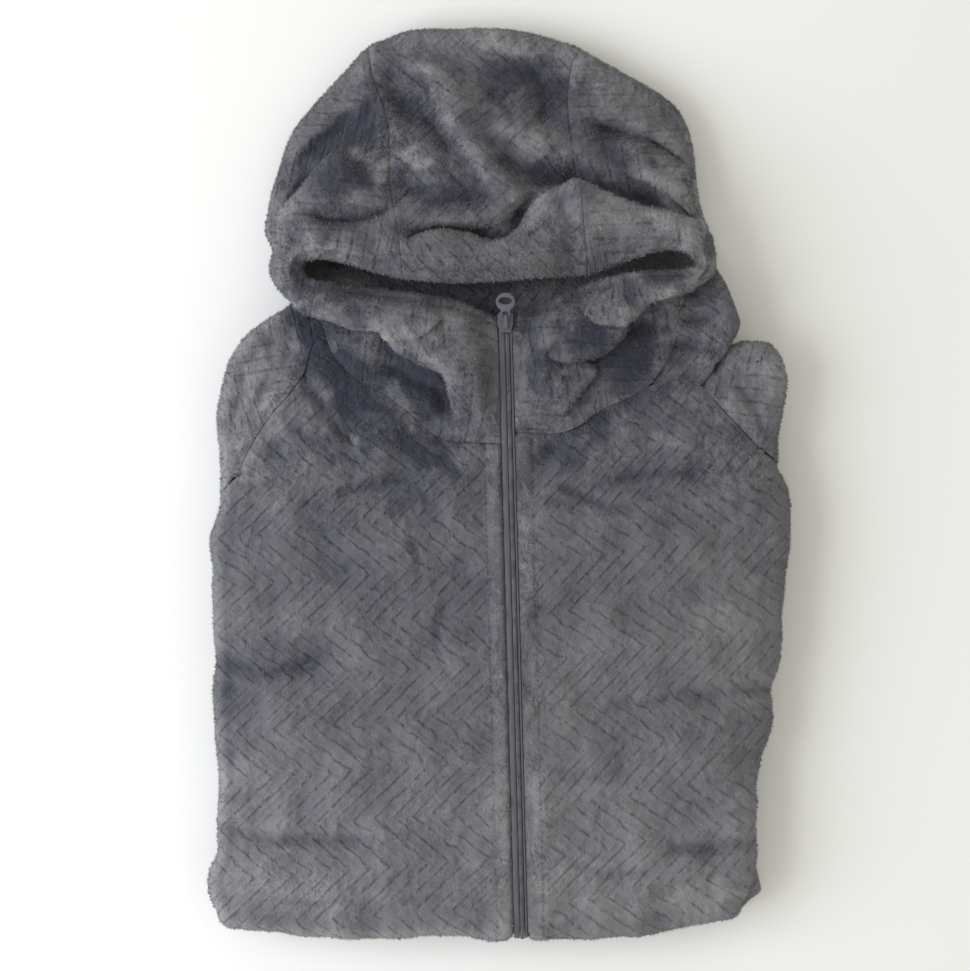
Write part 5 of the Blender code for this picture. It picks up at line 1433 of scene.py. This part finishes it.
def face_outward(mesh):
    """Turns the faces round if the mesh's signed volume is below zero."""
    mesh.calc_loop_triangles()
    total = 0.0
    for triangle in mesh.loop_triangles:
        a, b, c = (mesh.vertices[k].co for k in triangle.vertices)
        total += a.dot(b.cross(c))
    if total < 0:
        mesh.flip_normals()


def paint(mesh, name, values):
    """A map of two values at each corner of the mesh, from its points."""
    corners = np.empty(len(mesh.loops), int)
    mesh.loops.foreach_get("vertex_index", corners)
    layer = mesh.uv_layers.new(name=name)
    layer.data.foreach_set("uv", (values * MM)[corners].astype(np.float32).ravel())


def mark(mesh, tone, plain, wool):
    """The pile's tone with its painted light and shade, and its plain and ruffled shares, at each point."""
    marks = mesh.attributes.new("marks", "FLOAT_VECTOR", "POINT")
    rows = np.stack([np.ravel(tone), np.ravel(plain), np.ravel(wool)], axis=1)
    marks.data.foreach_set("vector", rows.astype(np.float32).ravel())


def cloth_piece(name, surface, finish, turn=0.0, tilt=0.0, shift=(0.0, 0.0)):
    """A thin shell of cloth on a face's points, named for its node. Turn, tilt and shift place the
    embossed pattern on its unrolled plan."""
    rows, columns = surface.points.shape[:2]
    mesh = mesh_of(name, surface.points.reshape(-1, 3), grid_faces(rows, columns))
    if sum(face.normal.z * face.area for face in mesh.polygons) < 0:
        mesh.flip_normals()
    x, y = surface.plan[..., 0].ravel(), surface.plan[..., 1].ravel()
    c, s = math.cos(math.radians(turn)), math.sin(math.radians(turn))
    u, v = x * c + y * s, y * c - x * s
    paint(mesh, "cloth", np.stack([u + shift[0], v - tilt * u + shift[1]], axis=1))
    paint(mesh, "trim", surface.trim.reshape(-1, 2))
    mark(mesh, surface.tone, surface.plain, surface.wool)
    piece = add_object(name, mesh, finish)
    wall = piece.modifiers.new("Wall", "SOLIDIFY")
    wall.thickness = WALL * MM
    wall.offset = -1
    return piece


# ---------------------------------------------------------------- pile
TUFT_LENGTH = (1.4, 2.7)
TUFT_WIDTH = (0.6, 1.1)
TUFT_LEAN = (0.75, 1.3)        # from upright, in radians
TUFT_LEAN_LOST = 0.3           # share of the lean lost where the cloth turns over
TUFT_SUNK = 0.4
TUFTS_ON_TOP = 0.17            # for each square millimetre
TUFTS_AT_EDGE = 0.75
TUFTS_ON_FLAT_PILE = 0.6       # of those, where the pile isn't ruffled
TUFTS_STEEP = (0.45, 0.93)     # upward share of the cloth's direction, from edge to top
TUFTS_UNDER = -0.4             # below this the cloth looks down and carries none
TUFTS_MOST = 12                # on one cell
SHOW_FROM, SHOW_BELOW = 104.0, 150.0
TUFT_TONES = (0.078, 0.106, 0.142, 0.188, 0.245)
TUFT_TONE_MIDDLE = 1.9         # tone number of plain pile
TUFT_TONE_SPREAD = 0.8
TUFT_TONE_WITH_PAINTED_SHADE = 1.5        # tone numbers for the cloth's tone with its painted light and shade, and for painted light where the cloth turns over
TUFT_PAINTED_EDGE_LIGHT = 0.5
PILE_SEED = 41


def tuft_rows(surface, dice, kept=None):
    """Corners of short leaning tufts over a cloth face, thicker where it turns over, and their tones, with
    painted light where it turns over.
    """
    p = surface.points
    a, b, c, d = p[:-1, :-1], p[:-1, 1:], p[1:, 1:], p[1:, :-1]
    normal = np.cross(c - a, d - b)
    area = np.linalg.norm(normal, axis=-1) / 2
    normal = normal / np.maximum(2 * area, 1e-9)[..., None]
    if (normal[..., 2] * area).sum() < 0:
        normal = -normal
    steep = 1 - smoothstep(normal[..., 2], *TUFTS_STEEP)
    wanted = (TUFTS_ON_TOP + (TUFTS_AT_EDGE - TUFTS_ON_TOP) * steep) * (normal[..., 2] > TUFTS_UNDER)
    wanted = wanted * (TUFTS_ON_FLAT_PILE + (1 - TUFTS_ON_FLAT_PILE) * surface.wool[:-1, :-1])
    if kept is not None:
        wanted = wanted * kept(p[:-1, :-1, 0], p[:-1, :-1, 1])
    count = dice.poisson(np.minimum(wanted * area, TUFTS_MOST)).ravel()
    cell = np.repeat(np.arange(count.size), count)
    u, v = dice.uniform(0, 1, (2, len(cell), 1))
    corners = [q.reshape(-1, 3)[cell] for q in (a, b, c, d)]
    root = (corners[0] * (1 - u) + corners[1] * u) * (1 - v) + (corners[3] * (1 - u) + corners[2] * u) * v
    up = normal.reshape(-1, 3)[cell]
    wild = dice.normal(0, 1, (len(cell), 3))
    side = wild - up * (wild * up).sum(1, keepdims=True)
    side /= np.linalg.norm(side, axis=1, keepdims=True)
    across = np.cross(up, side)
    length = dice.uniform(*TUFT_LENGTH, (len(cell), 1))
    steep = steep.ravel()[cell]
    lean = dice.uniform(*TUFT_LEAN, (len(cell), 1)) * (1 - TUFT_LEAN_LOST * steep)[:, None]
    half = dice.uniform(*TUFT_WIDTH, (len(cell), 1)) / 2
    base = root - up * TUFT_SUNK
    tip = base + length * (up * np.cos(lean) + side * np.sin(lean))
    tone = surface.tone[:-1, :-1].ravel()[cell] * TUFT_TONE_WITH_PAINTED_SHADE + TUFT_PAINTED_EDGE_LIGHT * steep
    tone = TUFT_TONE_MIDDLE + tone + dice.normal(0, TUFT_TONE_SPREAD, len(cell))
    tone = np.clip(np.rint(tone), 0, len(TUFT_TONES) - 1)
    return np.stack([base - across * half, base + across * half, tip], axis=1), tone.astype(int)


def pile_piece(name, faces_of_cloth, finishes):
    """Tufts that stand on the cloth, in a few tones."""
    dice = np.random.default_rng(PILE_SEED)
    rows = [tuft_rows(surface, dice, kept) for surface, kept in faces_of_cloth]
    corners = np.concatenate([tufts for tufts, _ in rows]).reshape(-1, 3)
    tones = np.concatenate([tone for _, tone in rows])
    mesh = mesh_of(name, corners, np.arange(len(corners)).reshape(-1, 3).tolist(), smooth=False)
    for finish in finishes:
        mesh.materials.append(finish)
    mesh.polygons.foreach_set("material_index", tones.astype(np.int32))
    tufts = bpy.data.objects.new(name, mesh)
    bpy.context.scene.collection.objects.link(tufts)
    return tufts


# ---------------------------------------------------------------- hidden layers
LAYER_RINGS = (0.97, 0.9, 0.8, 0.6, 0.3, 0.08)
LAYER_POINTS = 520
FLAP_AT = Point(160, -261)     # a corner of a lower layer that looks out at the folded end
FLAP_REACH = 17.5
FLAP_SIZE = 26.0
LOWER_LAYER_TOP = 10.2
LOWER_LAYER_FADE = (8, 10)
LAYER_WAVES = {True: ((42, 0.8, 31), (15, 0.3, 35)), False: ((42, 0.8, 33), (15, 0.3, 36))}    # by lower
LIFT_WAVE = (60, 0.35, 37)
LIFT_FROM = (1, 6)
# Painted shade on the hidden layers under the front's rolled edge: darker in the groove and on top, less out
# towards their side's edge
LAYER_SIDE_PAINTED_SHADE = -0.25
LAYER_EDGE_INSET = 6.5
LAYER_EDGE_FADE = 3.0
FLAP_TONE = 0.06
LAYER_GROOVE_PAINTED_SHADE = -0.35
LAYER_TOP_PAINTED_SHADE = -0.3
LAYER_ROLL_TURNS = (35, 65, 95, 125, 155)


def layers_piece(finish):
    """Back, skirt and sleeve layers: two rolled edges seen under the front's own."""
    outline = resampled(OUTLINE, LAYER_POINTS, closed=True)
    tangent = np.roll(outline, -1, axis=0) - np.roll(outline, 1, axis=0)
    inward = np.stack([-tangent[:, 1], tangent[:, 0]], axis=1)
    inward /= np.linalg.norm(inward, axis=1)[:, None]
    shelf = outline + inward * ROLL
    top = layers_height(shelf[:, 0], shelf[:, 1])
    side = smooth_curve(LAYER_SIDE, 4)
    side[:, 1] = np.maximum(side[:, 1], 0)
    groove = LAYER_SIDE[-1]
    share = (top - groove.z) / (LAYER_TOP - groove.z)
    x, y = outline[:, 0], outline[:, 1]
    level = 0 * x
    flap = FLAP_REACH * np.maximum(1 - np.hypot(x - FLAP_AT.x, y - FLAP_AT.y) / FLAP_SIZE, 0)
    rings, tones = [], []
    for inset, z in side:
        inset = inset - flap * (1 - smoothstep(z, *LOWER_LAYER_FADE))
        uneven = wave_sum(LAYER_WAVES[bool(z < LOWER_LAYER_TOP)], x, y)
        lifted = ripples(x, y, *LIFT_WAVE) * smoothstep(z, *LIFT_FROM)
        out = outline + inward * (inset + np.maximum(uneven, 0))[:, None]
        rings.append(np.column_stack([out, z + lifted]))
        # painted shade on the layers' side, fading out towards its outer edge
        edge_light = smoothstep(LAYER_EDGE_INSET - inset, 0, LAYER_EDGE_FADE)
        tones.append(LAYER_SIDE_PAINTED_SHADE - LAYER_SIDE_PAINTED_SHADE * edge_light + FLAP_TONE * flap)
    roll_z = EDGE_TOP - ROLL
    turned = [(ROLL - LAYER_ROLL * math.sin(a), roll_z - LAYER_ROLL * math.cos(a))
              for a in np.radians(LAYER_ROLL_TURNS)]
    for inset, z in [(groove.inset, roll_z - LAYER_ROLL)] + turned:
        rings.append(np.column_stack([outline + inward * inset, groove.z + (z - groove.z) * share]))
        tones.append(LAYER_GROOVE_PAINTED_SHADE + level)
    rings.append(np.column_stack([shelf, top]))
    tones.append(LAYER_TOP_PAINTED_SHADE + level)
    spine = np.column_stack([np.full(len(shelf), SPINE_X), np.clip(shelf[:, 1], SPINE_LOW, SPINE_HIGH)])
    for part in LAYER_RINGS:
        plan = spine + (shelf - spine) * part
        rings.append(np.column_stack([plan, layers_height(plan[:, 0], plan[:, 1])]))
        tones.append(LAYER_TOP_PAINTED_SHADE + level)
    rings, tones = np.array(rings), np.array(tones)
    points = rings.reshape(-1, 3)
    faces = [face[::-1] for face in tube_faces(len(rings), LAYER_POINTS)]
    mesh = mesh_of("folded_layers_cloth", points, faces)
    along = np.concatenate([[0], np.cumsum(np.linalg.norm(np.diff(outline, axis=0), axis=1))])
    up = np.concatenate([np.zeros((1, LAYER_POINTS)),
                         np.cumsum(np.linalg.norm(np.diff(rings, axis=0), axis=2), axis=0)])
    plan = np.stack([np.broadcast_to(along, up.shape), up], axis=-1)
    paint(mesh, "cloth", plan.reshape(-1, 2))
    paint(mesh, "trim", np.full((len(points), 2), FAR_TRIM))
    mark(mesh, tones, np.zeros(tones.shape), np.zeros(tones.shape))
    return add_object("folded_layers_cloth", mesh, finish)


# ---------------------------------------------------------------- zip
STRIP_STEP = 1.5
TAPE_THICK = 1.2
TAPE_SUNK = 0.9
TAPE_BEND = 0.35
TAPE_CROWN = 0.08
COIL_THICK = 1.9
COIL_SUNK = 0.5
COIL_PITCH = 1.25
COIL_POINTS = 10           # steps across one turn of the coil
COIL_SPAN = 0.97           # of its width
COIL_LEG = 0.62            # depth of a turn's ends
COIL_ARCH = 0.55
COIL_SLANT = 0.25
COIL_WIRE_POINTS = 6
COIL_WIRE = (0.50, 0.32)   # half the wire's size, along the zip and in depth
CORE_SIDE = 0.9            # depth of the core's sides and of its middle
CORE_MIDDLE = 0.55
COLLAR_ROW = HOOD_RIGHT[0]


def zip_height(y):
    """Cloth height along the zip: over the body, then up the collar."""
    y = np.asarray(y, float)
    on_body = body_height(zip_x(y), y)
    first, last = COLLAR_ROW.edge_y, COLLAR_ROW.rim_y - LIP_ROLL
    t = np.clip((last - y) / (last - first), 0, 1)
    seam_z = body_height(zip_x(first), np.array(first))
    return np.where(y > first, arch(COLLAR_ROW.rim_z, COLLAR_ROW.mid_z, seam_z, t), on_body)


def zip_path(step):
    """Stations down the zip and round the bottom fold: place along it, y, height and turn."""
    low = float(bottom_line(ZIP_X))
    straight = np.arange(ZIP_TOP, low, -step)
    turns = np.arange(0, TURN, step / ROLL)
    y = np.concatenate([straight, np.full(len(turns), low)])
    turn = np.concatenate([np.zeros(len(straight)), turns])
    return np.arange(len(y)) * step, y, zip_height(y), turn


def placed(path, across, depth):
    """Points across the zip at each station; depth is above the cloth's face."""
    _, y, surface, turn = path
    middle = zip_x(y)
    radius = ROLL + depth
    return np.stack([middle[:, None] + across, (y - radius.T * np.sin(turn)).T + 0 * across,
                     (surface - ROLL + radius.T * np.cos(turn)).T + 0 * across], axis=-1)


def strip_piece(name, section, finish):
    """A strip all along the zip, from its section's points: across and above the cloth's face."""
    path = zip_path(STRIP_STEP)
    across = np.array([x for x, _ in section])[None, :]
    depth = np.array([z for _, z in section])[None, :] * np.ones((len(path[1]), 1))
    points = placed(path, across, depth)
    mesh = mesh_of(name, points.reshape(-1, 3), tube_faces(len(points), len(section)))
    face_outward(mesh)
    trim = np.stack([np.broadcast_to(across, points.shape[:2]),
                     np.broadcast_to(path[0][:, None], points.shape[:2])], axis=-1)
    paint(mesh, "trim", trim.reshape(-1, 2))
    return add_object(name, mesh, finish)


def tape_piece(name, low_x, high_x, finish):
    """One tape: a flat woven strip with softly rounded sides."""
    top, bottom = -TAPE_SUNK, -TAPE_SUNK - TAPE_THICK
    section = [(low_x, bottom), (high_x, bottom), (high_x, top - TAPE_BEND), (high_x - TAPE_BEND, top),
               ((low_x + high_x) / 2, top + TAPE_CROWN), (low_x + TAPE_BEND, top), (low_x, top - TAPE_BEND)]
    return strip_piece(name, section, finish)


def coil_piece(finish):
    """The closed chain: a row of slanted turns of nylon."""
    middle, half = COIL_LEFT - COIL_WIDTH / 2, COIL_WIDTH / 2
    ring = COIL_WIRE_POINTS
    points, faces = [], []
    for y, surface, bend in zip(*zip_path(COIL_PITCH)[1:]):
        first = len(points)
        for k in range(COIL_POINTS + 1):
            a = math.pi * k / COIL_POINTS
            x = middle - half * math.cos(a) * COIL_SPAN
            rise = -COIL_SUNK - COIL_LEG + COIL_ARCH * math.sin(a)
            slant = COIL_SLANT * math.cos(a)
            for j in range(ring):
                b = math.tau * j / ring
                down = slant + COIL_WIRE[0] * math.cos(b)
                radius = ROLL + (rise + COIL_WIRE[1] * math.sin(b))
                flat_y = y if bend <= 0 else y - radius * math.sin(bend)
                points.append((float(zip_x(y)) + x, flat_y + down * math.cos(bend),
                               surface - ROLL + radius * math.cos(bend) + down * math.sin(bend)))
        for k in range(COIL_POINTS):
            for j in range(ring):
                n = (j + 1) % ring
                faces.append((first + k * ring + j, first + k * ring + n,
                              first + (k + 1) * ring + n, first + (k + 1) * ring + j))
        faces.append(tuple(first + j for j in range(ring))[::-1])
        faces.append(tuple(first + COIL_POINTS * ring + j for j in range(ring)))
    mesh = mesh_of("zip_coil_turns", points, faces)
    face_outward(mesh)
    return add_object("zip_coil_turns", mesh, finish)


def core_piece(finish):
    """Tape and cords under the coil."""
    low, high = COIL_LEFT - COIL_WIDTH, COIL_LEFT
    bottom, side = -COIL_SUNK - COIL_THICK, -COIL_SUNK - CORE_SIDE
    section = [(low, bottom), (high, bottom), (high, side), ((low + high) / 2, -COIL_SUNK - CORE_MIDDLE),
               (low, side)]
    return strip_piece("zip_coil_core", section, finish)


# ---------------------------------------------------------------- the robe
PLUSH = plush_finish()
TAPE = tape_finish()
COIL = coil_finish()
METAL = metal_finish()


def stand_for(piece, node, body="robe"):
    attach(piece, body)
    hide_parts(node)


def sheet_of(piece, node):
    stand_for(piece, node)


def on_show(x, y):
    """Where the hood's back shows beside the collar."""
    return (x > SHOW_FROM) & (y < SHOW_BELOW)


stand_for(layers_piece(PLUSH), "folded_layers")

# Each cloth: its node and face, the turn, tilt and shift of its embossing, its flat size and area,
# and where the pile's tips stand on it
CLOTHS = (
    ("front_right", front_surface(-1, RIGHT_NECK + RIGHT_ARMHOLE, RIGHT_SIDE, 3),
     (0, 0.086, (0, 50.4)), (0.24, 0.41), 0.0696, None),
    ("front_left", front_surface(1, LEFT_NECK + LEFT_ARMHOLE, LEFT_SIDE, 7),
     (0, 0.18, (0, 57.2)), (0.23, 0.38), 0.0595, None),
    ("sleeve_right", sleeve_surface(-1, RIGHT_TUCK + RIGHT_SLEEVE, RIGHT_SIDE),
     (-32,), (0.07, 0.13), 0.0059, None),
    ("sleeve_left", sleeve_surface(1, LEFT_TUCK + LEFT_SLEEVE[2:], LEFT_SIDE),
     (34,), (0.07, 0.10), 0.0040, None),
    ("hood_right", hood_surface(HOOD_RIGHT, False, True), (38,), (0.16, 0.27), 0.0223, None),
    ("hood_centre", hood_surface(HOOD_CENTRE, True, True), (0,), (0.17, 0.19), 0.0233, None),
    ("hood_left", hood_surface(HOOD_LEFT, True, False), (-40,), (0.16, 0.27), 0.0216, None),
    ("hood_back", back_surface(), (10,), (0.29, 0.25), 0.0526, on_show))
for node, face, embossing, flat, area, _ in CLOTHS:
    sheet_of(cloth_piece(node + "_cloth", face, PLUSH, *embossing), node)

pile = pile_piece("pile_tufts", [(cloth[1], cloth[-1]) for cloth in CLOTHS],
                  [tuft_finish(tone) for tone in TUFT_TONES])
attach(pile, "robe")

TAPE_EDGE = ZIP_HALF - ZIP_CLEAR
stand_for(tape_piece("zip_tape_right_weave", -TAPE_EDGE, COIL_LEFT - COIL_WIDTH - ZIP_CLEAR, TAPE),
          "zip_tape_right")
stand_for(tape_piece("zip_tape_left_weave", COIL_LEFT + ZIP_CLEAR, TAPE_EDGE, TAPE),
          "zip_tape_left")
stand_for(coil_piece(COIL), "zip_chain")
stand_for(core_piece(COIL), "zip_chain")
for node in ("zip_slider", "zip_pull"):
    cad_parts[node].data.materials.clear()
    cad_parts[node].data.materials.append(METAL)

# ---------------------------------------------------------------- floor, light and camera
TABLE_HALF = 3000
TABLE_DROP = 0.0002        # in metres, below the cloth
ROOM_COLOR, ROOM_STRENGTH = (1.015, 0.994, 0.875, 1), 0.68
WINDOW_AT, WINDOW_SIZE, WINDOW_POWER = (-1.35, -0.2, 1.05), (1.5, 1.5), 26.5
WINDOW_COLOR = (0.935, 0.965, 1.05)
CAMERA_AT = (-0.0086, -0.0013, 1.497)

corners = [(x * TABLE_HALF, y * TABLE_HALF, 0) for x, y in ((-1, -1), (1, -1), (1, 1), (-1, 1))]
floor_mesh = mesh_of("table_top", corners, [(0, 1, 2, 3)], smooth=False)
floor = add_object("table_top", floor_mesh, floor_finish())
floor.location.z = -TABLE_DROP

world = bpy.data.worlds.new("soft_room")
world.use_nodes = True
room = world.node_tree.nodes["Background"].inputs
room["Color"].default_value = ROOM_COLOR
room["Strength"].default_value = ROOM_STRENGTH
bpy.context.scene.world = world

light = bpy.data.lights.new("window_light", "AREA")
light.shape = "RECTANGLE"
light.size, light.size_y = WINDOW_SIZE
light.energy = WINDOW_POWER
light.color = WINDOW_COLOR
window = bpy.data.objects.new("window_light", light)
window.location = WINDOW_AT
window.rotation_euler = (-Vector(WINDOW_AT)).to_track_quat("-Z", "Y").to_euler()
bpy.context.scene.collection.objects.link(window)

view = bpy.data.cameras.new("overhead")
view.lens = 85
view.sensor_width = 36
view.clip_end = 50
camera = bpy.data.objects.new("overhead", view)
camera.location = CAMERA_AT
bpy.context.scene.collection.objects.link(camera)
bpy.context.scene.camera = camera
bpy.context.scene.view_settings.view_transform = "Standard"
